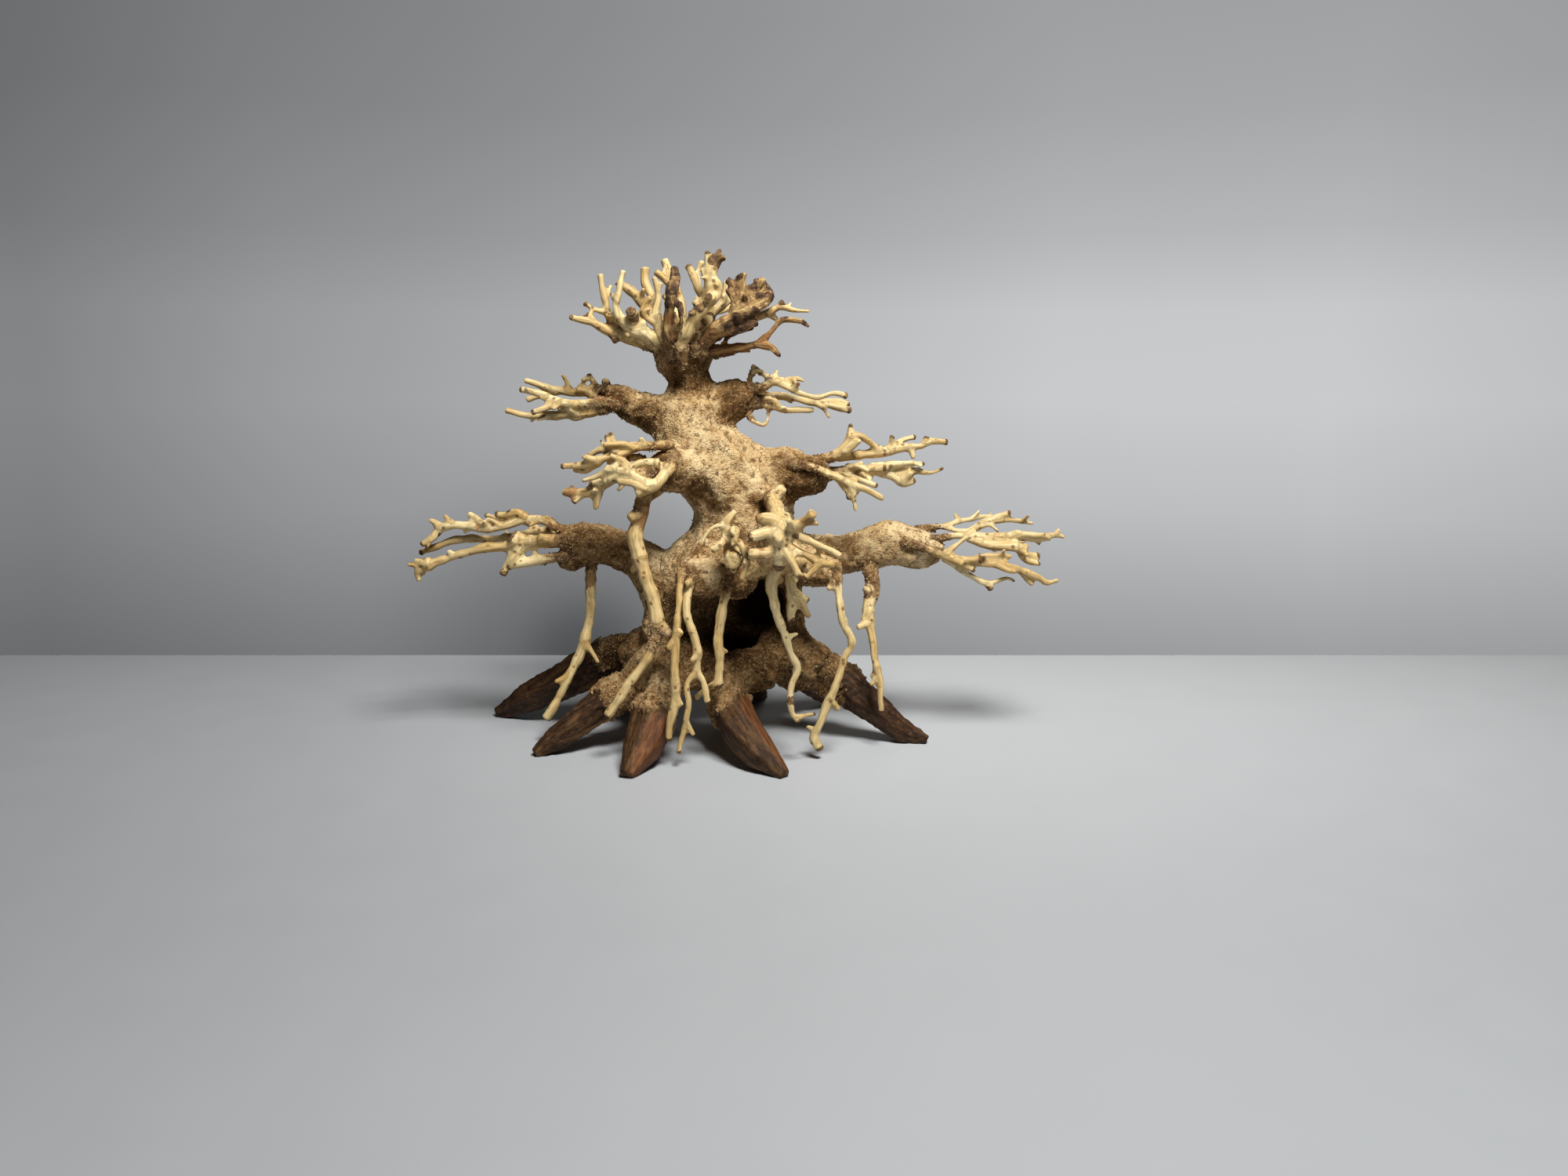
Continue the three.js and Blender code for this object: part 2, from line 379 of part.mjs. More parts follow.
const frontTwigs = {
  front_twig_right: [
    [[16.5, -18, 108, 3.2], [18.5, -32, 106, 3.2], [20, -45, 101.5, 3.5], [20.8, -54, 97, 4], [20.8, -56, 90.5, 3.2]],
    [[20, -54, 98.5, 2.4], [13.5, -56, 98.4, 2.2], [8.5, -57, 97, 1.8]],
    [[20, -55, 92, 2.3], [14, -55, 90, 1.9], [9.5, -55, 90.2, 1.7]],
    [[21.5, -54, 99.5, 2.2], [26.5, -57, 101.8, 1.8], [30, -60, 103.6, 1.7], [33.4, -62, 107.6, 1.7]],
    [[23, -55, 98.6, 2.2], [27, -58, 98, 1.8], [34, -60, 94.8, 1.4], [44, -62, 90.3, 1.3]],
    [[22.5, -56, 93.6, 1.9], [30, -58, 90.6, 1.5], [37, -60, 87.4, 1.7], [41, -63, 86.8, 1.5]],
    [[36, -60, 87.4, 1.4], [30.2, -61, 81.4, 1.1]],
    [[22.5, -57, 92, 1.7], [25.8, -60, 86.4, 1.5], [28, -61, 82.6, 1.8]],
    [[20.5, -55, 96.6, 2], [19.6, -61.5, 96.4, 1.5]],
  ],
  front_twig_left: [
    [[2, -30, 86, 3.3], [1.6, -38, 86.5, 3.3], [1.4, -46, 86.6, 3.1]],
    [[0, -36, 88, 2], [-1, -42, 94, 1.8], [-1, -43, 100, 1.8], [2.6, -42, 105.4, 1.5]],
    [[-1, -43, 100, 1.2], [-6, -45, 99.6, 0.9], [-8.8, -46, 96.6, 1.1], [-10.3, -47, 92.4, 0.6]],
    [[-1, -43, 95.5, 1.7], [-3.4, -47, 92.6, 1.5], [-6.6, -48, 90.4, 1.3]],
    [[-0.5, -43, 95.6, 1.8], [3.4, -48, 98.6, 2.4]],
    [[0, -43, 94.6, 1.6], [4.4, -50, 94, 1.5], [7, -52, 89.6, 1.5], [7.6, -53, 85.6, 1.4], [5.4, -53, 79.6, 1.3]],
  ],
  rear_twig: [
    [[3.5, 37, 104, 2.6], [-2, 43, 104.5, 2.2], [-9, 52, 103, 1.8], [-15, 62, 104, 1.2]],
    [[-6, 47, 104, 1.5], [-12, 50, 108, 1.3], [-18, 53, 110, 1]],
    [[-8, 50, 103.6, 1.4], [-6, 57, 107, 1.3], [-7, 64, 109, 0.9]],
    [[-4, 45, 103.5, 1.5], [-10, 49, 98.6, 1.4], [-14, 55, 95, 1]],
    [[3.5, 37, 104, 2.4], [9, 45, 105.5, 2], [14, 55, 105, 1.6], [19, 63, 107, 1.1]],
    [[11, 49, 105.6, 1.5], [17, 51, 109, 1.3], [22, 56, 110, 0.9]],
    [[8, 44, 105.4, 1.5], [6, 53, 110, 1.3], [5, 60, 113, 0.9]],
    [[8, 44, 105, 1.5], [14, 48, 101, 1.4], [18, 56, 98, 1]],
  ],
};

// The stroke without the points that hardly bend or swell it.
function lean(stroke) {
  const kept = [stroke[0]];
  for (let i = 1; i < stroke.length - 1; i++) {
    const [from, at, to] = [kept.at(-1), stroke[i], stroke[i + 1]];
    const chord = new THREE.Line3(new THREE.Vector3(...from), new THREE.Vector3(...to));
    const place = new THREE.Vector3(...at);
    const nearest = chord.closestPointToPoint(place, true, new THREE.Vector3());
    const share = nearest.distanceTo(chord.start) / chord.distance();
    const swell = Math.abs(at[3] - THREE.MathUtils.lerp(from[3], to[3], share));
    if (Math.max(place.distanceTo(nearest), swell) > leastBend) kept.push(at);
  }
  return [...kept, stroke.at(-1)];
}

// A closed, bent and tapered rod along the stroke: a cylinder whose rings are moved on to the curve.
function rod(fullStroke, sideCount, grow = 0) {
  const stroke = lean(fullStroke);
  const spans = stroke.length - 1;
  const path = new THREE.CatmullRomCurve3(
    stroke.map(([x, y, z]) => new THREE.Vector3(x, y, z)),
    false,
    "centripetal",
  );
  const frames = [];
  let side = new THREE.Vector3(0.31, 0.87, 0.38).normalize();
  for (let i = 0; i <= spans; i++) {
    const along = path.getTangent(i / spans);
    side = side.clone().addScaledVector(along, -side.dot(along)).normalize();
    const across = new THREE.Vector3().crossVectors(side, along);
    const centre = path.getPoint(i / spans);
    if (i === 0) centre.addScaledVector(along, -grow);
    if (i === spans) centre.addScaledVector(along, grow);
    frames.push({ centre, side, across, radius: stroke[i][3] + grow });
  }

  const shape = new THREE.CylinderGeometry(1, 1, 1, sideCount, spans);
  const position = shape.getAttribute("position");
  for (let i = 0; i < position.count; i++) {
    const ring = Math.round((position.getY(i) + 0.5) * spans);
    const { centre, side: out, across, radius } = frames[ring];
    const moved = centre
      .clone()
      .addScaledVector(out, position.getX(i) * radius)
      .addScaledVector(across, position.getZ(i) * radius);
    position.setXYZ(i, moved.x, moved.y, moved.z);
  }
  return shape;
}

function solidOf(geometry) {
  const bare = new THREE.BufferGeometry().setAttribute("position", geometry.getAttribute("position"));
  if (geometry.index) bare.setIndex(geometry.index);
  const merged = mergeVertices(bare, 1e-4);
  return new wasm.Manifold(
    new wasm.Mesh({
      numProp: 3,
      vertProperties: merged.getAttribute("position").array,
      triVerts: new Uint32Array(merged.index.array),
    }),
  );
}

function geometryOf(solid) {
  const { vertProperties, triVerts } = solid.getMesh();
  return new THREE.BufferGeometry()
    .setAttribute("position", new THREE.BufferAttribute(vertProperties, 3))
    .setIndex(new THREE.BufferAttribute(triVerts, 1));
}

function fused(strokes, sideCount, grow) {
  return strokes
    .map((stroke) => solidOf(rod(stroke, sideCount, grow)))
    .reduce((whole, next) => whole.add(next));
}

function largestPart(solid) {
  return solid.decompose().reduce((best, next) => (next.volume() > best.volume() ? next : best));
}

const ground = solidOf(
  new THREE.BoxGeometry(groundReach, groundReach, groundDepth).translate(0, 0, -groundDepth / 2),
);
const driftwood = new THREE.Group();
driftwood.scale.setScalar(scale);
driftwood.position.x = middle * scale;
const placed = [];

function boxesMeet(a, b) {
  return [0, 1, 2].every((k) => a.min[k] < b.max[k] && b.min[k] < a.max[k]);
}

// Adds a piece, trimmed to stand off every piece that is already there by the glue gap.
function place(name, strokes, sideCount, wood, hollows = []) {
  let solid = fused(strokes, sideCount, 0).subtract(ground);
  let room = fused(strokes, sideCount, glueGap);
  for (const hollow of hollows) {
    const cut = fused(hollow, sides.limb, 0);
    solid = solid.subtract(cut);
    room = room.subtract(cut);
  }
  for (const other of placed) {
    if (boxesMeet(room.boundingBox(), other.boundingBox())) solid = solid.subtract(other);
  }
  const mesh = new THREE.Mesh(geometryOf(largestPart(solid).simplify(leastChip)), wood);
  mesh.name = name;
  driftwood.add(mesh);
  placed.push(room);
}

function placeAll(pieces, sideCount, woodOf) {
  for (const [name, strokes] of Object.entries(pieces)) place(name, strokes, sideCount, woodOf(name));
}

place("trunk", trunk.trunk, sides.body, woods.coat, [knotHole]);
place("stump", stump.stump, sides.body, woods.coat, [cave]);
placeAll(limbs, sides.limb, () => woods.coat);
placeAll(spikes, sides.spike, () => woods.hardwood);
placeAll(hangingRoots, sides.hangingRoot, () => woods.peeled);
const brownTwigs = ["crown_twig_dark", "crown_twig_right_dark", "crown_twig_low_right"];
for (const pad of [crownTwigs, upperTwigs, middleTwigs, lowerTwigs, frontTwigs]) {
  placeAll(pad, sides.twig, (name) => (brownTwigs.includes(name) ? woods.bark : woods.peeled));
}

export default driftwood;
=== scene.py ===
import itertools
import math
import random
from collections import Counter

import bmesh
import bpy
import numpy as np
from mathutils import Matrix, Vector, bvhtree, kdtree, noise


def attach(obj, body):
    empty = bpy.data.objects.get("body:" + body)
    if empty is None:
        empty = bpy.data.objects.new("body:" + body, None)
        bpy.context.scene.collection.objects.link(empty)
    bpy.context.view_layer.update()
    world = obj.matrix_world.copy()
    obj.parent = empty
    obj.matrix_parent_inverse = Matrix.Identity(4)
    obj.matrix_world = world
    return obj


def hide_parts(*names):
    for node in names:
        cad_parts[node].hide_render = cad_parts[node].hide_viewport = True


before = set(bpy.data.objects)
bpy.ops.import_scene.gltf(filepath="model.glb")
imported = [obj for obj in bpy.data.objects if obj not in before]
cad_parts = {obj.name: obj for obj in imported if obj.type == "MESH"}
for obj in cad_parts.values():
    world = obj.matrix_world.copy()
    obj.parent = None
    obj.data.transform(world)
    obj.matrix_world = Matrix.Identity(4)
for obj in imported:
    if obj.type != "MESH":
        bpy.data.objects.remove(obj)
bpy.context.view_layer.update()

# Twigs and roots are bent by a noise that starts from the clock if it isn't told where to start.
bendSeed = 1796078399
noise.seed_set(bendSeed)

# Strokes below are in millimetres, drawn round the trunk; this puts them in the frame.
drawn = {"metre": 0.001, "middle": -2}


def placed(point):
    return Vector((point[0] + drawn["middle"], point[1], point[2])) * drawn["metre"]


# camera, table and light

view = {"place": (0.020, -0.509, 0.160), "pitchDown": 10.4, "lens": 27.05, "sensor": 36}

cameraData = bpy.data.cameras.new("camera")
cameraData.lens = view["lens"]
cameraData.sensor_width = view["sensor"]
cameraData.clip_start = 0.01
camera = bpy.data.objects.new("camera", cameraData)
camera.location = view["place"]
camera.rotation_euler = (math.radians(90 - view["pitchDown"]), 0, 0)
bpy.context.scene.collection.objects.link(camera)
bpy.context.scene.camera = camera
bpy.context.scene.view_settings.view_transform = "Standard"

table = {"halfWidth": 2.5, "frontEdge": -2.5, "rearEdge": 0.15, "drop": 0.0002}

floorMesh = bmesh.new()
bmesh.ops.create_grid(floorMesh, x_segments=1, y_segments=1, size=1)
tableDepth = table["rearEdge"] - table["frontEdge"]
bmesh.ops.scale(floorMesh, vec=(table["halfWidth"], tableDepth / 2, 1), verts=floorMesh.verts)
bmesh.ops.translate(
    floorMesh, vec=(0, table["rearEdge"] - tableDepth / 2, -table["drop"]), verts=floorMesh.verts,
)
floorData = bpy.data.meshes.new("tableTop")
floorMesh.to_mesh(floorData)
floorMesh.free()
floor = bpy.data.objects.new("tableTop", floorData)
bpy.context.scene.collection.objects.link(floor)

lights = {
    "overhead": {"place": (0.15, -0.36, 0.68), "aim": (0, 0, 0.06), "size": 0.22, "power": 7.9},
    "front": {"place": (0.25, -1.30, 0.55), "aim": (0, 0, 0.10), "size": 0.8, "power": 0.2},
    "behind": {"place": (0.30, 0.85, 0.75), "aim": (0, 0, 0.10), "size": 0.7, "power": 0.8},
}
warmLight = (1.0, 0.96, 0.88)
for name, light in lights.items():
    data = bpy.data.lights.new(name, "AREA")
    data.size = light["size"]
    data.energy = light["power"]
    data.color = warmLight
    lamp = bpy.data.objects.new(name, data)
    lamp.location = light["place"]
    lamp.rotation_euler = (Vector(light["aim"]) - Vector(light["place"])).to_track_quat("-Z", "Y").to_euler()
    bpy.context.scene.collection.objects.link(lamp)
print("camera, table and lights are set")


# node helpers

def srgb(red, green, blue):
    channels = [c / 255 for c in (red, green, blue)]
    return (*[c / 12.92 if c <= 0.04045 else ((c + 0.055) / 1.055) ** 2.4 for c in channels], 1)


def fillSockets(tree, node, inputs):
    for key, value in inputs.items():
        if isinstance(value, bpy.types.NodeSocket):
            tree.links.new(value, node.inputs[key])
        else:
            node.inputs[key].default_value = value


def addNode(tree, kind, inputs=None, **settings):
    node = tree.nodes.new(kind)
    for key, value in settings.items():
        setattr(node, key, value)
    fillSockets(tree, node, inputs or {})
    return node


def mixColors(tree, factor, first, second, blend="MIX"):
    inputs = {0: factor, 6: first, 7: second}
    return addNode(tree, "ShaderNodeMix", inputs, data_type="RGBA", blend_type=blend).outputs[2]


def layered(tree, color, *layers):
    # lays colours over the first one in turn, each as far as its mask goes
    for mask, over in layers:
        color = mixColors(tree, mask, color, over)
    return color


def calculate(tree, operation, *values):
    return addNode(tree, "ShaderNodeMath", dict(enumerate(values)), operation=operation).outputs[0]


def plus(tree, first, second):
    return calculate(tree, "ADD", first, second)


def times(tree, first, second):
    return calculate(tree, "MULTIPLY", first, second)


def spread(tree, value, low, high, toLow=0.0, toHigh=1.0):
    node = addNode(tree, "ShaderNodeMapRange", {0: value, 1: low, 2: high, 3: toLow, 4: toHigh})
    node.interpolation_type = "SMOOTHSTEP"
    return node.outputs[0]


def ramp(tree, value, *stops):
    # colours along a value, from (position, colour) pairs in rising order
    node = addNode(tree, "ShaderNodeValToRGB", {0: value})
    elements = node.color_ramp.elements
    elements.remove(elements[1])
    elements[0].position, elements[0].color = stops[0]
    for position, color in stops[1:]:
        elements.new(position).color = color
    return node.outputs[0]


def fractal(tree, place, scale, detail=4.0, rough=0.55):
    inputs = {"Vector": place, "Scale": scale, "Detail": detail, "Roughness": rough}
    return addNode(tree, "ShaderNodeTexNoise", inputs).outputs[0]


def cells(tree, place, scale, channel=0):
    # one random value for each cell of a crumbly pattern, and the distance from the cell's middle
    node = addNode(tree, "ShaderNodeTexVoronoi", {"Vector": place, "Scale": scale, "Randomness": 1.0})
    parted = addNode(tree, "ShaderNodeSeparateColor", {0: node.outputs["Color"]})
    return parted.outputs[channel], node.outputs["Distance"]


def attribute(tree, name, output="Fac"):
    return addNode(tree, "ShaderNodeAttribute", attribute_name=name).outputs[output]


def newGroup(name, inputs, outputs):
    group = bpy.data.node_groups.new(name, "ShaderNodeTree")
    for label, kind, value in inputs:
        socket = group.interface.new_socket(label, in_out="INPUT", socket_type=kind)
        if value is not None:
            socket.default_value = value
    for label, kind in outputs:
        group.interface.new_socket(label, in_out="OUTPUT", socket_type=kind)
    return group, group.nodes.new("NodeGroupInput").outputs, group.nodes.new("NodeGroupOutput").inputs


def newMaterial(name):
    material = bpy.data.materials.new(name)
    material.use_nodes = True
    return material, material.node_tree, material.node_tree.nodes["Principled BSDF"]


def finishMaterial(tree, shader, color, roughness, height, depth):
    bump = addNode(tree, "ShaderNodeBump", {"Height": height, "Distance": depth, "Strength": 1.0})
    tree.links.new(color, shader.inputs["Base Color"])
    tree.links.new(roughness, shader.inputs["Roughness"])
    tree.links.new(bump.outputs[0], shader.inputs["Normal"])


# shared effects

# Glued wood dust: pale, tan and brown grains, darker where the surface is low; the Brown input, which on the
# coat holds painted shade, browns it, and the Dark input paints hollows near black.
dustTones = {
    "pale": srgb(226, 202, 158), "tan": srgb(192, 162, 118), "brown": srgb(122, 88, 48),
    "rust": srgb(134, 82, 38), "bark": srgb(62, 39, 18), "shadedHollowTone": srgb(30, 18, 10),
}
dustScales = {"grain": 1500.0, "chip": 800.0, "patches": 60.0, "smudges": 230.0, "clouds": 520.0}
dustGroup, given, made = newGroup(
    "woodDust",
    [
        ("Place", "NodeSocketVector", None), ("Relief", "NodeSocketFloat", 0.5),
        ("Brown", "NodeSocketFloat", 0.0), ("Crumb", "NodeSocketFloat", 0.0),
        ("Dark", "NodeSocketFloat", 0.0),
    ],
    [("Color", "NodeSocketColor"), ("Height", "NodeSocketFloat")],
)
tree, place = dustGroup, given["Place"]
grain, grainReach = cells(tree, place, dustScales["grain"])
chip, _ = cells(tree, place, dustScales["chip"], 1)
patches = fractal(tree, place, dustScales["patches"], 4.0, 0.6)
smudges = fractal(tree, place, dustScales["smudges"], 4.0, 0.65)
clouds = fractal(tree, place, dustScales["clouds"], 5.0, 0.7)
worn = plus(tree, given["Brown"], spread(tree, smudges, 0.3, 0.7, -0.22, 0.22))
bright = calculate(tree, "SUBTRACT", 1.0, times(tree, given["Brown"], 0.55))
fleck = times(tree, spread(tree, grain, 0.60, 0.98, 0.0, 0.5), bright)
pits = times(tree, spread(tree, clouds, 0.43, 0.31, 0.0, 0.6), spread(tree, smudges, 0.36, 0.60, 0.25, 1.0))
crumbTone = ramp(
    tree, given["Crumb"], (0.1, dustTones["pale"]), (0.5, dustTones["tan"]),
    (0.8, dustTones["brown"]), (1.0, dustTones["bark"]),
)
tone = layered(
    tree, dustTones["tan"],
    (spread(tree, patches, 0.40, 0.60), dustTones["pale"]),
    (spread(tree, smudges, 0.50, 0.72, 0.0, 0.6), dustTones["brown"]),
    (spread(tree, worn, 0.05, 0.55, 0.0, 0.85), dustTones["brown"]),
    (spread(tree, worn, 0.50, 1.05, 0.0, 0.85), dustTones["bark"]),
    (fleck, dustTones["pale"]),
    (spread(tree, grain, 0.30, 0.02, 0.0, 0.4), dustTones["brown"]),
    (spread(tree, chip, 0.88, 0.97, 0.0, 0.35), dustTones["rust"]),
    (spread(tree, chip, 0.07, 0.02, 0.0, 0.5), dustTones["bark"]),
    (pits, dustTones["bark"]),
    (spread(tree, given["Relief"], 0.34, 0.04, 0.0, 0.6), dustTones["bark"]),
    (spread(tree, given["Crumb"], 0.04, 0.06, 0.0, 0.45), crumbTone),
    # painted shade: near black where the hollows are, partly dark wood
    (given["Dark"], dustTones["shadedHollowTone"]),
)
tree.links.new(tone, made["Color"])
tree.links.new(calculate(tree, "SUBTRACT", clouds, times(tree, grainReach, 0.6)), made["Height"])

# Wood fibres along a twig, root or spike.
fibreGroup, given, made = newGroup(
    "woodFibres",
    [("Along", "NodeSocketVector", None), ("Scale", "NodeSocketFloat", 1.0)],
    [("Streaks", "NodeSocketFloat"), ("Blotches", "NodeSocketFloat"), ("Height", "NodeSocketFloat")],
)
tree, along = fibreGroup, given["Along"]
streaks = fractal(tree, along, given["Scale"], 5.0, 0.6)
blotches = fractal(tree, along, times(tree, given["Scale"], 0.3), 3.0)
fine = fractal(tree, along, times(tree, given["Scale"], 3.5), 3.0)
tree.links.new(streaks, made["Streaks"])
tree.links.new(blotches, made["Blotches"])
tree.links.new(plus(tree, streaks, times(tree, fine, 0.5)), made["Height"])


# materials

def dustOn(tree, relief=0.5, brown=0.0, dark=0.0):
    place = addNode(tree, "ShaderNodeTexCoord").outputs["Object"]
    crumb = attribute(tree, "crumb")
    inputs = {"Place": place, "Relief": relief, "Brown": brown, "Crumb": crumb, "Dark": dark}
    return place, addNode(tree, "ShaderNodeGroup", inputs, node_tree=dustGroup).outputs


def fibresOn(tree, scale):
    inputs = {"Along": attribute(tree, "fibre", "Vector"), "Scale": scale}
    return addNode(tree, "ShaderNodeGroup", inputs, node_tree=fibreGroup).outputs


def dustMask(tree):
    # where dust covers the wood, and on every crumb
    crumbly = calculate(tree, "GREATER_THAN", attribute(tree, "crumb"), 0.05)
    return calculate(tree, "MAXIMUM", attribute(tree, "dusty"), crumbly)


coatMaterial, tree, shader = newMaterial("gluedDustCoat")
# the coat's browner tones and its near-black hollows carry painted shade as well as the wood's own colour
place, dust = dustOn(tree, attribute(tree, "relief"), attribute(tree, "brown"), attribute(tree, "hollowDarkAndShade"))
stain = spread(tree, plus(tree, attribute(tree, "glue"), fractal(tree, place, 700.0)), 0.95, 1.2)
color = mixColors(tree, times(tree, stain, 0.55), dust["Color"], srgb(116, 72, 36))
finishMaterial(tree, shader, color, spread(tree, stain, 0, 1, 0.96, 0.75), dust["Height"], 0.0006)
shader.inputs["Specular IOR Level"].default_value = 0.08

peeledTones = {
    "cream": srgb(234, 216, 168), "straw": srgb(202, 170, 108), "olive": srgb(152, 114, 58),
    "knot": srgb(116, 80, 40), "stain": srgb(138, 94, 50),
}
barkTones = {
    "dark": srgb(48, 32, 22), "brown": srgb(96, 68, 42), "pale": srgb(150, 118, 78), "dirtAndShade": srgb(76, 48, 24),
    "faded": srgb(108, 78, 44), "worn": srgb(162, 128, 80), "bare": srgb(214, 186, 130),
    "smudge": srgb(112, 78, 44), "stain": srgb(138, 92, 44),
}


def weathered(tree, place, fibres, mottled, dust, color, bark):
    # dirt and painted shade in the crevices, bark that was left on, then dust and crumbs
    dirtAndShade = spread(tree, plus(tree, attribute(tree, "creviceDirtAndShade"), mottled), 0.75, 1.35, 0.0, 0.85)
    tones = (barkTones[key] for key in ("dark", "brown", "pale"))
    barkTone = ramp(tree, fractal(tree, place, bark["scale"]), *zip(bark["stops"], tones))
    barked = spread(tree, plus(tree, attribute(tree, "bark"), fibres["Streaks"]), 0.95, 1.1)
    dusty = dustMask(tree)
    color = layered(
        tree, color, (dirtAndShade, barkTones["dirtAndShade"]), (times(tree, barked, bark["cover"]), barkTone),
        (dusty, dust["Color"]),
    )
    return color, barked, dusty


peeledMaterial, tree, shader = newMaterial("peeledTwigWood")
place, dust = dustOn(tree, brown=plus(tree, times(tree, attribute(tree, "glue"), 0.5), 0.4))
fibres = fibresOn(tree, 1.0)
mottled = fractal(tree, place, 330.0, 4.0, 0.6)
# pale wood, and a deeper yellow that is also painted shade: the attribute that mixes them darkens the
# undersides and the less lit roots as well as varying the tone
pale = ramp(tree, fibres["Streaks"], (0.30, peeledTones["straw"]), (0.55, peeledTones["cream"]))
deepAndShade = ramp(tree, fibres["Streaks"], (0.30, peeledTones["olive"]), (0.60, peeledTones["straw"]))
scar, scarReach = cells(tree, place, 380.0)
scar = times(tree, spread(tree, scar, 0.80, 0.84), spread(tree, scarReach, 0.40, 0.22))
granules = spread(tree, fractal(tree, place, 900.0, 4.0, 0.7), 0.36, 0.62, 0.25, 0.75)
stain = spread(tree, plus(tree, attribute(tree, "glue"), granules), 0.9, 1.45)
color = layered(
    tree, pale,
    (attribute(tree, "tintAndShade"), deepAndShade),
    (spread(tree, fibres["Blotches"], 0.56, 0.76, 0.0, 0.5), peeledTones["olive"]),
    (spread(tree, mottled, 0.60, 0.74, 0.0, 0.75), peeledTones["knot"]),
    (times(tree, scar, 0.8), peeledTones["knot"]),
    (times(tree, stain, 0.8), peeledTones["stain"]),
)
bark = {"scale": 700.0, "stops": (0.36, 0.52, 0.66), "cover": 0.92}
color, barked, dusty = weathered(tree, place, fibres, mottled, dust, color, bark)
rough = spread(tree, plus(tree, barked, dusty), 0, 1, 0.5, 0.9)
finishMaterial(tree, shader, color, rough, fibres["Height"], 0.00022)
shader.inputs["Specular IOR Level"].default_value = 0.35

barkMaterial, tree, shader = newMaterial("barkTwigWood")
place, dust = dustOn(tree, brown=0.9)
fibres = fibresOn(tree, 1.3)
mottled = fractal(tree, place, 300.0, 4.0, 0.6)
stain = spread(tree, plus(tree, attribute(tree, "glue"), fibres["Streaks"]), 0.95, 1.3)
woodTones = [barkTones[name] for name in ("faded", "worn", "bare")]
wood = ramp(tree, fibres["Streaks"], *zip((0.32, 0.48, 0.62), woodTones))
color = layered(
    tree, wood,
    (spread(tree, mottled, 0.50, 0.64, 0.0, 0.8), barkTones["smudge"]),
    (times(tree, stain, 0.7), barkTones["stain"]),
)
bark = {"scale": 500.0, "stops": (0.38, 0.52, 0.68), "cover": 1.0}
color, _, _ = weathered(tree, place, fibres, mottled, dust, color, bark)
roughness = spread(tree, fibres["Streaks"], 0, 1, 0.95, 0.7)
finishMaterial(tree, shader, color, roughness, fibres["Height"], 0.0005)

spikeTones = {
    "grim": (srgb(30, 18, 10), srgb(62, 41, 23), srgb(104, 76, 47)),
    "warm": (srgb(56, 32, 18), srgb(100, 61, 35), srgb(138, 94, 58)),
    "dark": srgb(40, 21, 12), "scab": srgb(108, 78, 50), "fissure": srgb(28, 17, 11),
}
spikeMaterial, tree, shader = newMaterial("carvedHardwood")
place, dust = dustOn(tree, brown=plus(tree, times(tree, attribute(tree, "dark"), 0.9), 0.45))
fibres = fibresOn(tree, 1.0)
grim = ramp(tree, fibres["Streaks"], *zip((0.30, 0.46, 0.66), spikeTones["grim"]))
warm = ramp(tree, fibres["Streaks"], *zip((0.28, 0.50, 0.68), spikeTones["warm"]))
lean = plus(tree, attribute(tree, "bare"), times(tree, fractal(tree, place, 160.0), 0.5))
scabs = spread(tree, fractal(tree, place, 620.0, 4.0, 0.65), 0.52, 0.66, 0.0, 0.45)
dusty = dustMask(tree)
color = layered(
    tree, grim,
    (spread(tree, lean, 0.62, 0.80), warm),
    (attribute(tree, "dark"), spikeTones["dark"]),
    (scabs, spikeTones["scab"]),
    (spread(tree, attribute(tree, "relief"), 0.38, 0.10, 0.0, 0.6), spikeTones["fissure"]),
    (dusty, dust["Color"]),
)
height = plus(tree, fibres["Height"], times(tree, dusty, dust["Height"]))
finishMaterial(tree, shader, color, spread(tree, dusty, 0, 1, 0.6, 0.95), height, 0.0007)
shader.inputs["Specular IOR Level"].default_value = 0.2

floorMaterial, tree, shader = newMaterial("paleTable")
place = addNode(tree, "ShaderNodeTexCoord").outputs["Object"]
spot = addNode(tree, "ShaderNodeSeparateXYZ", {0: place}).outputs
# painted light: the table is painted lighter towards the back and the right, like the pool of the lamp's
# light, and darker at the front left
back = spread(tree, spot[1], -0.24, 0.14)
atLeft = mixColors(tree, back, srgb(152, 156, 164), srgb(184, 189, 198))
atRight = mixColors(tree, back, srgb(160, 165, 173), srgb(206, 212, 221))
color = mixColors(tree, spread(tree, spot[0], -0.24, 0.12), atLeft, atRight)
rough = spread(tree, fractal(tree, place, 40.0), 0.2, 0.8, 0.5, 0.6)
finishMaterial(tree, shader, color, rough, fractal(tree, place, 900.0), 0.00002)
floorData.materials.append(floorMaterial)

# Soft studio surroundings. The wall that the camera sees is darker at the left, at the top and
# down towards the table; what lights the wood from there is dimmer.
wall = {
    "across": [(0.02, 133), (0.15, 155), (0.28, 167), (0.55, 190), (0.70, 201), (0.88, 202), (1.0, 192)],
    "upward": [
        (0.05, 0.54), (0.14, 0.66), (0.28, 0.87), (0.44, 1.0), (0.57, 0.97), (0.68, 0.79),
        (0.85, 0.64), (0.97, 0.60),
    ],
    "acrossSpan": (-0.55, 0.55), "upwardSpan": (-0.26, 0.28),
    "shadeAt": (-0.165, 0.960, -0.235), "lighting": 0.045,
    "shades": [(0.20, 0.02, 0.5, srgb(50, 52, 54)), (0.07, 0.01, 0.4, srgb(30, 32, 34))],
}
world = bpy.data.worlds.new("studio")
world.use_nodes = True
tree = world.node_tree
way = addNode(tree, "ShaderNodeTexCoord").outputs["Generated"]
heading = addNode(tree, "ShaderNodeSeparateXYZ", {0: way}).outputs
across, upward = [
    addNode(tree, "ShaderNodeMapRange", {0: heading[axis], 1: wall[span][0], 2: wall[span][1]}).outputs[0]
    for axis, span in ((0, "acrossSpan"), (2, "upwardSpan"))
]
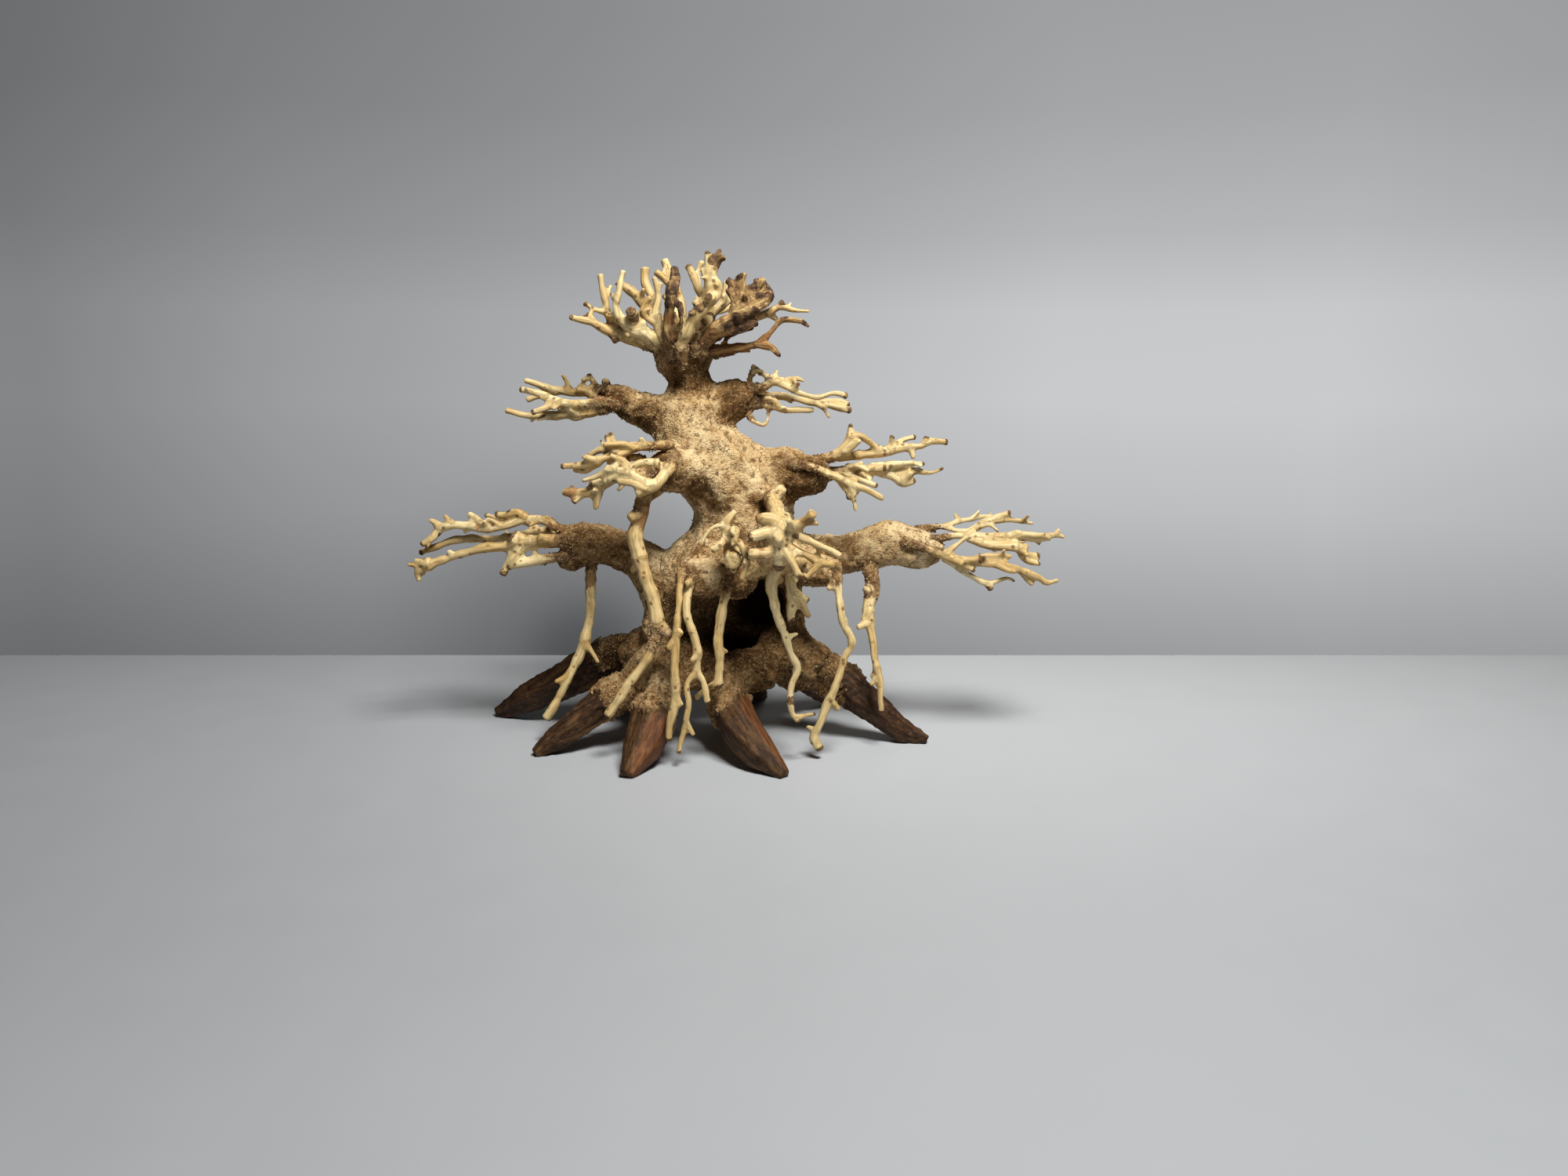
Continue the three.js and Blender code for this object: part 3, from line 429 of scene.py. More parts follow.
lit = ramp(tree, across, *[(at, srgb(value, value + 1, value + 3)) for at, value in wall["across"]])
dimmed = ramp(tree, upward, *[(at, (value, value, value, 1)) for at, value in wall["upward"]])
nearby = addNode(tree, "ShaderNodeVectorMath", {0: way, 1: wall["shadeAt"]}, operation="DISTANCE").outputs[1]
shade = layered(
    tree, mixColors(tree, 1.0, lit, dimmed, "MULTIPLY"),
    *[(spread(tree, nearby, far, close, 0.0, much), tone) for far, close, much, tone in wall["shades"]],
)
seen = addNode(tree, "ShaderNodeLightPath").outputs["Is Camera Ray"]
tree.links.new(shade, tree.nodes["Background"].inputs["Color"])
strength = spread(tree, seen, 0.0, 1.0, wall["lighting"], 1.0)
tree.links.new(strength, tree.nodes["Background"].inputs["Strength"])
bpy.context.scene.world = world
print("materials are ready")


# mesh helpers

def evaluatedMesh(piece):
    bpy.context.view_layer.update()
    return bpy.data.meshes.new_from_object(piece.evaluated_get(bpy.context.evaluated_depsgraph_get()))


def newPiece(name, mesh):
    piece = bpy.data.objects.new(name, mesh)
    bpy.context.scene.collection.objects.link(piece)
    return piece


def addModifier(piece, kind, **settings):
    modifier = piece.modifiers.new(kind, kind)
    for key, value in settings.items():
        setattr(modifier, key, value)


def bakeModifiers(piece):
    mesh = evaluatedMesh(piece)
    piece.modifiers.clear()
    old = piece.data
    piece.data = mesh
    bpy.data.meshes.remove(old)


def weld(piece, look):
    # joins what touches: swollen, smoothed and drawn back, so that inner corners fill
    before, after = look["smoothing"]
    addModifier(piece, "REMESH", mode="VOXEL", voxel_size=look["joining"])
    addModifier(piece, "DISPLACE", strength=look["web"], mid_level=0)
    addModifier(piece, "REMESH", mode="VOXEL", voxel_size=look["joining"])
    addModifier(piece, "SMOOTH", factor=0.5, iterations=before)
    addModifier(piece, "DISPLACE", strength=-look["web"], mid_level=0)
    addModifier(piece, "REMESH", mode="VOXEL", voxel_size=look["voxel"])
    addModifier(piece, "SMOOTH", factor=0.5, iterations=after)


def swellBy(piece, name, kind, size, strength, level, **settings):
    # moves the surface in and out by a solid texture
    texture = bpy.data.textures.new(name, kind)
    texture.noise_scale = size
    for key, value in settings.items():
        setattr(texture, key, value)
    addModifier(piece, "DISPLACE", texture=texture, strength=strength, mid_level=level)


def coordinates(mesh):
    values = np.empty(len(mesh.vertices) * 3)
    mesh.vertices.foreach_get("co", values)
    return values.reshape(-1, 3)


def normalsOf(mesh):
    values = np.empty(len(mesh.vertices) * 3)
    mesh.vertex_normals.foreach_get("vector", values)
    return values.reshape(-1, 3)


def liftSurface(mesh, lift):
    moved = coordinates(mesh) + normalsOf(mesh) * np.asarray(lift)[:, None]
    mesh.vertices.foreach_set("co", moved.ravel())
    mesh.update()


def setAttribute(mesh, name, values, kind="FLOAT"):
    field = "value" if kind == "FLOAT" else "vector"
    values = np.asarray(values, dtype=np.float32).ravel()
    mesh.attributes.new(name, kind, "POINT").data.foreach_set(field, values)


def mergedCopy(name, nodes):
    mesh = bmesh.new()
    for node in nodes:
        mesh.from_mesh(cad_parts[node].data)
    bmesh.ops.remove_doubles(mesh, verts=mesh.verts, dist=1e-6)
    data = bpy.data.meshes.new(name)
    mesh.to_mesh(data)
    mesh.free()
    return newPiece(name, data)


def smoothShade(mesh):
    mesh.polygons.foreach_set("use_smooth", [True] * len(mesh.polygons))


def clamped(value):
    return min(1.0, max(0.0, value))


def treeOf(places):
    # finds the nearest of some places
    tree = kdtree.KDTree(len(places))
    for i, place in enumerate(places):
        tree.insert(place, i)
    tree.balance()
    return tree


def dress(piece, material, slot, *nodes):
    piece.data.materials.clear()
    piece.data.materials.append(material)
    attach(piece, "root")
    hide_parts(*nodes)


def samplesAlong(stroke, step):
    # points and radii every step along a smooth line through the stroke
    places = [placed(p) for p in stroke]
    radii = [p[3] * drawn["metre"] for p in stroke]
    samples = []
    for i in range(len(places) - 1):
        before = places[max(i - 1, 0)]
        after = places[min(i + 2, len(places) - 1)]
        count = max(2, math.ceil((places[i + 1] - places[i]).length / step))
        last = i == len(places) - 2
        for k in range(count + (1 if last else 0)):
            t = k / count
            leave = (places[i + 1] - before) * 0.5
            arrive = (after - places[i]) * 0.5
            spot = (
                places[i] * (2 * t**3 - 3 * t**2 + 1) + leave * (t**3 - 2 * t**2 + t)
                + places[i + 1] * (3 * t**2 - 2 * t**3) + arrive * (t**3 - t**2)
            )
            samples.append((spot, radii[i] + (radii[i + 1] - radii[i]) * t))
    return samples


# loose crumbs of wood dust, thrown on a surface where an attribute says so

crumbLook = {
    "size": 0.00042, "flat": (0.45, 0.4, 0.3), "long": (2.3, 1.0, 0.75), "turn": (6.28, 6.28, 6.28),
    "jitter": 0.00072, "jitterScale": 1900, "tones": (0.1, 1.0),
}
crumbDensity = {"coat": 225000, "wood": 640000, "spike": 460000}  # for each square metre


def crumbTree(density, where, seed):
    # scatters little rough lumps on the mesh and joins them to it
    group = bpy.data.node_groups.new("crumbs", "GeometryNodeTree")
    for way in ("INPUT", "OUTPUT"):
        group.interface.new_socket("Geometry", in_out=way, socket_type="NodeSocketGeometry")
    surface = group.nodes.new("NodeGroupInput").outputs[0]
    named = addNode(group, "GeometryNodeInputNamedAttribute", {0: where}, data_type="FLOAT").outputs[0]
    spots = addNode(
        group, "GeometryNodeDistributePointsOnFaces",
        {"Mesh": surface, "Density": times(group, named, density), "Seed": seed}, distribute_method="RANDOM",
    )
    ball = {"Radius": crumbLook["size"], "Subdivisions": 1}
    lump = addNode(group, "GeometryNodeMeshIcoSphere", ball).outputs[0]

    def drawLots(low, high, shift, kind="FLOAT_VECTOR"):
        node = addNode(group, "FunctionNodeRandomValue", data_type=kind)
        live = [socket for socket in node.inputs if socket.enabled]
        live[0].default_value = low
        live[1].default_value = high
        next(socket for socket in live if socket.name == "Seed").default_value = seed + shift
        return next(socket for socket in node.outputs if socket.enabled)

    turn = drawLots((0, 0, 0), crumbLook["turn"], 1)
    size = drawLots(crumbLook["flat"], crumbLook["long"], 2)
    lumps = addNode(
        group, "GeometryNodeInstanceOnPoints",
        {"Points": spots.outputs[0], "Instance": lump, "Rotation": turn, "Scale": size},
    ).outputs[0]
    lumps = addNode(
        group, "GeometryNodeStoreNamedAttribute",
        {0: lumps, "Name": "crumb", "Value": drawLots(*crumbLook["tones"], 3, "FLOAT")},
        data_type="FLOAT", domain="INSTANCE",
    ).outputs[0]
    lumps = addNode(group, "GeometryNodeRealizeInstances", {0: lumps}).outputs[0]
    shiver = addNode(group, "ShaderNodeTexNoise", {"Scale": crumbLook["jitterScale"], "Detail": 0.0})
    inputs = {0: shiver.outputs["Color"], 1: (0.5, 0.5, 0.5)}
    centred = addNode(group, "ShaderNodeVectorMath", inputs, operation="SUBTRACT").outputs[0]
    inputs = {0: centred, "Scale": crumbLook["jitter"]}
    shift = addNode(group, "ShaderNodeVectorMath", inputs, operation="SCALE").outputs[0]
    lumps = addNode(group, "GeometryNodeSetPosition", {"Geometry": lumps, "Offset": shift}).outputs[0]
    lumps = addNode(group, "GeometryNodeSetShadeSmooth", {0: lumps, "Shade Smooth": False}).outputs[0]
    join = group.nodes.new("GeometryNodeJoinGeometry")
    group.links.new(lumps, join.inputs[0])
    group.links.new(surface, join.inputs[0])
    group.links.new(join.outputs[0], group.nodes.new("NodeGroupOutput").inputs[0])
    return group


def throwCrumbs(piece, density, where, seed):
    if "crumb" not in piece.data.attributes:
        setAttribute(piece.data, "crumb", np.zeros(len(piece.data.vertices)))
    modifier = piece.modifiers.new("crumbs", "NODES")
    modifier.node_group = crumbTree(density, where, seed)
    bakeModifiers(piece)


# peeled twigs and hanging roots, and the crown's twigs with their bark on

twigLook = {
    "step": 0.0009, "rooted": 0.0045, "rootedNear": 0.0025,
    "wander": 0.0007, "wanderSize": 110, "swell": 0.20, "swellSize": 300,
    "forkSwell": 1.4, "forkReach": 0.0045, "baseSwell": 1.15, "baseReach": 0.008,
    "knob": 1.12, "knobShare": 0.5,
    "joining": 0.0005, "web": 0.0006, "smoothing": (2, 1), "voxel": 0.00042, "keep": 0.47,
    "knotEvery": 0.009, "knotFirst": (0.4, 1.1), "knotNext": (0.6, 1.5), "knotEnd": 0.003,
    "knotSwell": 0.10, "knotReach": 0.0022,
    "spurShare": 0.5, "spurLength": (0.0012, 0.0048), "spurLean": (0.1, 1.0), "spurThick": (0.42, 0.7),
    "budShare": 0.5, "budThick": (0.5, 0.75),
    "coverReach": 0.0036, "stainReach": 0.018, "nearStart": 0.024, "deepAndShade": 0.3, "tintRange": (-0.3, 0.45),
    "creviceReach": 0.0032, "darkReach": 0.0026, "darkShare": 0.3, "barkLift": 0.0003,
    "fibreStretch": 110, "fibreWidth": 900, "ridge": 0.00014,
}
barkLook = {
    **twigLook, "wander": 0.0010, "swell": 0.30, "darkReach": 0.005, "darkShare": 0.7, "ridge": 0.0005,
}
rootLook = {
    **twigLook, "knotEvery": 0.017, "spurShare": 0.25, "nearStart": 0.013, "stainReach": 0.010, "deepAndShade": 0.52,
    "wander": 0.0008, "voxel": 0.00046,
}
# painted shade: how deep yellow each hanging root is made, deeper for the roots at the left and middle, which
# the light reaches less, and paler for those at the right, where it isn't the usual tone
rootShadeDepths = {
    "left_hanging_root": 0.7, "far_left_hanging_root": 0.65, "middle_hanging_root": 0.65,
    "front_left_hanging_root": 0.55, "front_right_hanging_root": 0.25, "right_hanging_root": 0.2,
    "hooked_hanging_root": 0.3,
}
# how dust, stain and bark end on the wood: edges that noise makes ragged, and how they lift the surface
markLook = {
    "patch": {"ragged": 0.6, "full": 1.2, "fade": 1.8},
    "patchScales": {"bark": 260, "stain": 260, "crumb": 900},
    "cover": {"from": 0.62, "ragged": 0.3, "scale": 600, "over": 0.15},
    "glue": {"from": 0.76, "ragged": 0.5, "scale": 380, "over": 0.1},
    "span": {"over": 0.004, "ragged": 0.6, "scale": 500},
    "hubClean": 0.003, "hubFade": 0.005, "glueTint": 0.8, "tintScale": 55, "ridgeScale": 1.3,
    "dustLift": 0.0002, "dustRough": 0.0004, "roughScale": 1500,
}

hangingRoots = {
    "far_left_hanging_root": [
        [
            [-61.5, -2, 80, 2.6], [-62.3, -4, 68, 2.3], [-63, -6, 54, 2.2], [-65, -8, 44, 2.7],
            [-70.3, -10, 32, 2], [-76.5, -12, 20, 1.9], [-82, -14, 11, 2.3],
        ],
        [[-65, -8, 44, 1.6], [-60.5, -11, 39, 1], [-58, -12, 35.5, 0.8]],
        [[-70.8, -10, 31, 1.4], [-75.4, -11, 28, 1.3], [-78, -12, 27, 0.9]],
    ],
    "left_hanging_root": [
        [
            [-35, -34, 109, 3], [-36.5, -33, 101, 3.1], [-38.5, -34, 92, 3.5], [-35, -35, 80, 2.9],
            [-32, -36, 69, 2.8], [-30, -37, 60, 3], [-31.5, -37, 50, 2.2], [-37, -38, 40, 2],
            [-44, -39, 30, 2.1], [-51, -40, 20.5, 2.2],
        ],
    ],
    "front_left_hanging_root": [
        [
            [-19.5, -34, 80, 2], [-20.3, -41, 68, 1.7], [-21.5, -44, 55, 1.7], [-22, -45, 44, 2],
            [-22.6, -46, 29, 2.2], [-25.5, -47, 12, 1.3],
        ],
        [[-21.5, -44, 54, 1.5], [-25.6, -45, 49.3, 1.3]],
        [[-22.4, -46, 31, 1.4], [-19.6, -47, 26.5, 0.8]],
    ],
    "forked_hanging_root": [
        [
            [-15.5, -33, 80, 2.2], [-17.5, -41, 69, 1.8], [-16.3, -43, 60, 1.8], [-13.4, -43, 50, 2.1],
            [-13.8, -43, 41, 1.8], [-11, -43, 35, 1.4], [-8.8, -43, 26.5, 1.5],
        ],
        [
            [-13.9, -43, 40, 1.4], [-17.2, -44, 35, 1.4], [-17.4, -45, 27, 1.3], [-18, -45, 19, 1.4],
            [-21.2, -46, 6, 1],
        ],
        [[-18, -45, 20, 1.2], [-15.2, -45, 13, 0.9]],
    ],
    "middle_hanging_root": [
        [[-1.5, -34, 77, 2.1], [-3, -39, 65, 2], [-5, -40, 53, 2.2], [-4.4, -41, 44, 1.9], [-5, -41, 33, 2]],
        [[-5, -41, 34, 1.7], [-9, -39, 32, 1.4], [-15, -37, 26.5, 1.1]],
    ],
    "hooked_hanging_root": [
        [
            [20.5, -53, 86, 2.8], [17.3, -50, 80, 2.4], [16.6, -48, 75, 2.3], [19, -46, 66, 1.9],
            [21.6, -45, 57, 1.7], [25, -44, 47, 1.5], [27.5, -43, 41, 1.6], [25, -43, 35, 1.5],
            [24.4, -43, 28, 1.6], [25.5, -43, 21.5, 1.1], [28.8, -43, 18.5, 1],
        ],
        [[26.5, -43, 20.5, 1], [31, -42, 21, 0.9], [35.5, -42, 21.5, 0.8]],
    ],
    "short_hanging_root": [
        [
            [25.5, -52, 86, 2], [25, -48, 79, 2.2], [25.2, -46, 72, 2.6], [24.8, -45, 66, 1.9],
            [25.2, -45, 61, 1.5],
        ],
        [[26, -46, 72, 1.9], [29.5, -45, 68, 1.6], [32.2, -44, 62.5, 1]],
        [[27, -46, 72.5, 1.3], [32.5, -44, 69.5, 0.8]],
    ],
    "front_right_hanging_root": [
        [
            [43, -28, 80, 2], [45, -31, 68, 1.8], [47, -32, 58, 1.7], [50.3, -33, 50, 1.9],
            [47, -33, 42, 1.6], [43.5, -34, 33, 1.7], [40.5, -34, 25, 2], [36.6, -35, 14.5, 1.6],
            [35, -35, 9, 2.7], [37.4, -36, 4, 1.6],
        ],
        [[41, -34, 26, 1.6], [45, -34, 20.5, 1.1]],
    ],
    "right_hanging_root": [
        [
            [58.5, -4, 80, 3], [60.5, -10, 68, 2.9], [58.5, -14, 59, 2.8], [60, -17, 49, 1.8],
            [60.6, -19, 41, 1.6], [62.3, -21, 34, 1.8], [63.5, -22, 27, 1.5], [63.3, -23, 17, 1.2],
        ],
        [[59, -14, 60, 1.9], [55.6, -16, 55.5, 1.3]],
        [[62.5, -21, 32, 1.3], [58.6, -22, 28.5, 0.8]],
    ],
}
crownTwigs = {
    "crown_twig_far_left": [
        [
            [-28, -6, 170.8, 4.4], [-40, -11, 173.2, 3], [-50, -15, 177, 2], [-57, -18, 180, 1.6],
            [-64.5, -20, 182, 1.4],
        ],
        [[-47, -14, 176, 1.6], [-50.5, -13, 184, 1.6], [-52, -12, 192, 1.4], [-53.3, -12, 199.5, 1.3]],
        [[-51.5, -12, 189, 1.2], [-49.3, -9, 195, 1]],
        [[-50.8, -13, 184, 1], [-56, -15, 185, 0.9], [-59.5, -17, 187.6, 1]],
        [[-44, -13, 174.5, 1.4], [-48.2, -15, 172.8, 1.3]],
    ],
    "crown_twig_left": [
        [
            [-31, -12, 173.4, 3.2], [-40, -17, 176.5, 2.1], [-45.5, -19, 182.5, 1.6], [-45.3, -19, 190, 1.4],
            [-42.6, -18, 200.5, 1.2],
        ],
        [[-41, -17, 177.5, 1.4], [-38.5, -20, 181.5, 1.9]],
    ],
    "crown_twig_back_left": [
        [[-27, 2, 174, 3], [-33, 2, 183, 2.3], [-40, 1, 191.5, 2.1], [-48.3, 0, 197.6, 1.7]],
        [[-32, 2, 181, 1.8], [-33.2, 5, 190, 2], [-36.8, 7, 197, 2.2], [-37.2, 8, 204, 1.9]],
    ],
    "crown_twig_front_left": [
        [[-27.5, -12, 174, 3.2], [-30, -14, 182, 2], [-29.3, -14, 190, 1.4], [-31.2, -14, 198.5, 1.1]],
        [[-29.5, -14, 179, 1.5], [-34.8, -17, 183, 1.5], [-34.8, -17, 187, 1.3], [-32, -18, 190, 1.2]],
    ],
    "crown_twig_tall": [
        [[-21, -2, 174, 2.8], [-21, -2, 186, 2], [-24, -1, 196, 1.9], [-28.3, 0, 206, 1.9]],
        [[-22.6, -2, 192, 1.5], [-27, -5, 197, 1.5], [-31, -7, 200.8, 1.5]],
    ],
    "crown_twig_dark": [
        [
            [-24.8, -16, 171, 2.6], [-25, -21, 181, 2.1], [-23.8, -24, 190, 2.3], [-22, -22, 196, 2],
            [-21.8, -21, 201.5, 1.6],
        ],
    ],
    "crown_twig_front": [
        [
            [-20.5, -14, 163, 2.2], [-19.5, -19, 171, 2.6], [-16, -22, 179, 2.4], [-10, -22, 185, 2.2],
            [-4.5, -20, 193, 1.7], [-8, -19, 200, 1.5], [-9, -18, 207.8, 1.2],
        ],
        [[-15, -22, 180, 1.7], [-14.8, -25, 183.5, 1.4]],
        [[-11, -22, 184, 1.5], [-13.8, -24, 188, 1.6]],
        [[-8.5, -21, 187, 1.9], [-7.6, -26, 189.6, 2.2]],
        [[-6.8, -19, 196.5, 1.3], [-5.4, -18, 203, 1.6], [-4, -17, 208.4, 0.9]],
    ],
    "crown_twig_back_right": [
        [[-14, -2, 173, 2.8], [-9, -6, 183, 2], [-13, -7, 193, 1.8], [-17.5, -6, 203.5, 1.7]],
        [[-12, -7, 191.5, 1.2], [-14.4, -3, 199, 1.2], [-12.2, -3, 205.6, 1.3]],
        [[-10, -6, 182, 1.5], [-3, -4, 190, 1.5], [-1.8, -4, 197, 1.3]],
    ],
    "crown_twig_right_dark": [
        [
            [-12, -12, 171, 3.2], [-4, -17, 177.5, 3.2], [4, -20, 183, 3.1], [11.5, -20, 186.5, 2.6],
            [16.5, -19, 190.3, 1.8],
        ],
        [[1, -19, 181.5, 1.8], [3.4, -18, 190, 2], [3.6, -17, 198.8, 1.6]],
        [[6, -19, 184.5, 1.6], [9.5, -17, 194.5, 1.5]],
        [[-5, -17, 175, 1.4], [4, -19, 177, 1.5], [11, -19, 180, 1.5]],
    ],
    "crown_twig_right": [
        [
            [-10, -4, 174, 3], [2, -7, 180, 2.5], [13, -9, 183, 1.8], [20, -10, 186, 1.4],
            [26, -10, 184.8, 1.1], [32.5, -10, 184.3, 0.7],
        ],
        [[20, -10, 186, 1], [21.6, -10, 188.8, 0.8]],
    ],
    "crown_twig_low_right": [
        [
            [-14, -8, 168.5, 2.7], [-4, -11, 169.4, 2.1], [4, -13, 170.2, 1.7], [11, -14, 171.8, 1.7],
            [16.5, -14, 175.5, 1.3], [21, -14, 180.3, 1.3], [28, -14, 180.4, 1.2], [32.6, -14, 178.3, 0.6],
        ],
        [[10, -14, 171.5, 1.5], [15.5, -16, 170.4, 1.5], [20.6, -18, 166.4, 0.8]],
    ],
    "crown_twig_back": [
        [[-19, 6, 173, 3], [-17, 14, 181, 2.1], [-12, 21, 189, 1.6], [-10, 25, 197, 1.4]],
        [[-17.5, 12, 179, 1.7], [-25, 20, 186, 1.7], [-31, 25, 193, 1.4]],
        [[-15, 17, 184.5, 1.5], [-4, 22, 187, 1.4], [4, 25, 192, 1.2]],
        [[-22, 17, 183.5, 1.4], [-34, 20, 182.5, 1.4], [-44, 22, 186, 1.2]],
        [[-17.5, 13, 180, 1.5], [-18, 22, 181, 1.5], [-20, 31, 184, 1.2]],
    ],
}
upperTwigs = {
    "upper_left_twig_top": [
        [
            [-50, 1, 152, 2.3], [-59, 1, 152, 2.1], [-69, 1, 151.6, 1.9], [-77, 1, 152.8, 1.5],
            [-84, 1, 155, 1.3], [-88.6, 1, 156.4, 1.2],
        ],
        [[-69.5, 1, 151.8, 1.3], [-70.4, 0, 155.5, 1.1], [-72, -1, 159, 0.8]],
        [[-75, 1, 151.8, 1.4], [-82, 3, 150, 1.4], [-88.4, 3, 148.2, 1.4]],
        [[-57, 0, 152, 1.6], [-59.3, -1, 156.5, 1.1], [-61, -1, 159, 1]],
        [[-60, -1, 157.5, 0.9], [-63.8, -2, 156.4, 0.8]],
    ],
    "upper_left_twig_low": [
        [
            [-48, -6, 146.5, 2.9], [-56, -7, 147, 2.3], [-66, -7, 146.6, 2.1], [-74, -7, 147.6, 2],
            [-81, -7, 151, 1.5], [-89, -6, 153, 1.3],
        ],
        [[-74.5, -7, 147.6, 1.7], [-79, -9, 144.7, 1.4], [-84, -10, 142.8, 1.2]],
        [
            [-52, -6, 144.5, 2], [-66, -5, 142.3, 2.3], [-77, -4, 141.8, 1.9], [-88, -4, 142, 1.5],
            [-96.5, -4, 144, 1.3],
        ],
        [[-64, -5, 142, 1.8], [-68, -5, 139.9, 1.1]],
        [[-72, -4, 141.8, 1.6], [-76, -3, 140.2, 0.9]],
    ],
    "upper_right_twig_top": [
        [
            [7, -4, 152.4, 2], [13, -5, 153.6, 1.9], [18, -5, 155.6, 1.8], [25, -5, 152.4, 1.3],
            [32, -5, 150.2, 1.2], [37, -5, 149.6, 1.2], [43, -5, 150.6, 1.3], [48.5, -5, 149.7, 1.4],
        ],
        [[18, -5, 155.8, 1.5], [24, -3, 156.4, 1.4], [27.3, -3, 156.9, 1.2], [30.8, -3, 155.8, 0.6]],
        [[17.6, -5, 156, 1.2], [19.2, -5, 161, 0.7]],
        [[17.5, -5, 156.6, 1.2], [13.5, -6, 158.8, 1.1], [10.5, -6, 160.6, 1.4], [8.5, -6, 162.4, 1.2]],
        [[10, -6, 160.8, 1.3], [7.6, -5, 158, 1.1], [6.7, -5, 154.5, 1]],
    ],
    "upper_right_twig_middle": [
        [
            [8, 3, 150, 1.8], [19, 4, 150.2, 1.8], [27, 4, 148.4, 1.6], [33, 3, 147, 1.5],
            [39, 2, 146.2, 1.4], [45, 2, 144.6, 1.4], [50.5, 1, 143.6, 1.5],
        ],
        [[36, 2, 146.6, 1.2], [39.5, -1, 143.8, 0.9], [41.6, -2, 141, 0.8]],
        [[38, 2, 146.6, 1.3], [45, 4, 147.6, 1.2], [50, 4, 145.8, 1]],
    ],
    "upper_right_twig_low": [
        [
            [7, -2, 145.6, 1.8], [13, -3, 146, 1.5], [18, -3, 145.8, 1.6], [22.5, -2, 144.1, 1.5],
            [29, -2, 143.9, 1.4], [34.5, -2, 144.2, 1.4],
        ],
        [[9, -3, 148.6, 1.6], [17, -4, 148.8, 1.5], [20, -3, 145.8, 1.4]],
        [
            [6.5, -3, 143.5, 1.6], [8.2, -4, 139.6, 1.1], [13.3, -4, 137.6, 0.9], [15.2, -4, 139.8, 0.8],
            [15.8, -3, 145, 0.8],
        ],
    ],
}
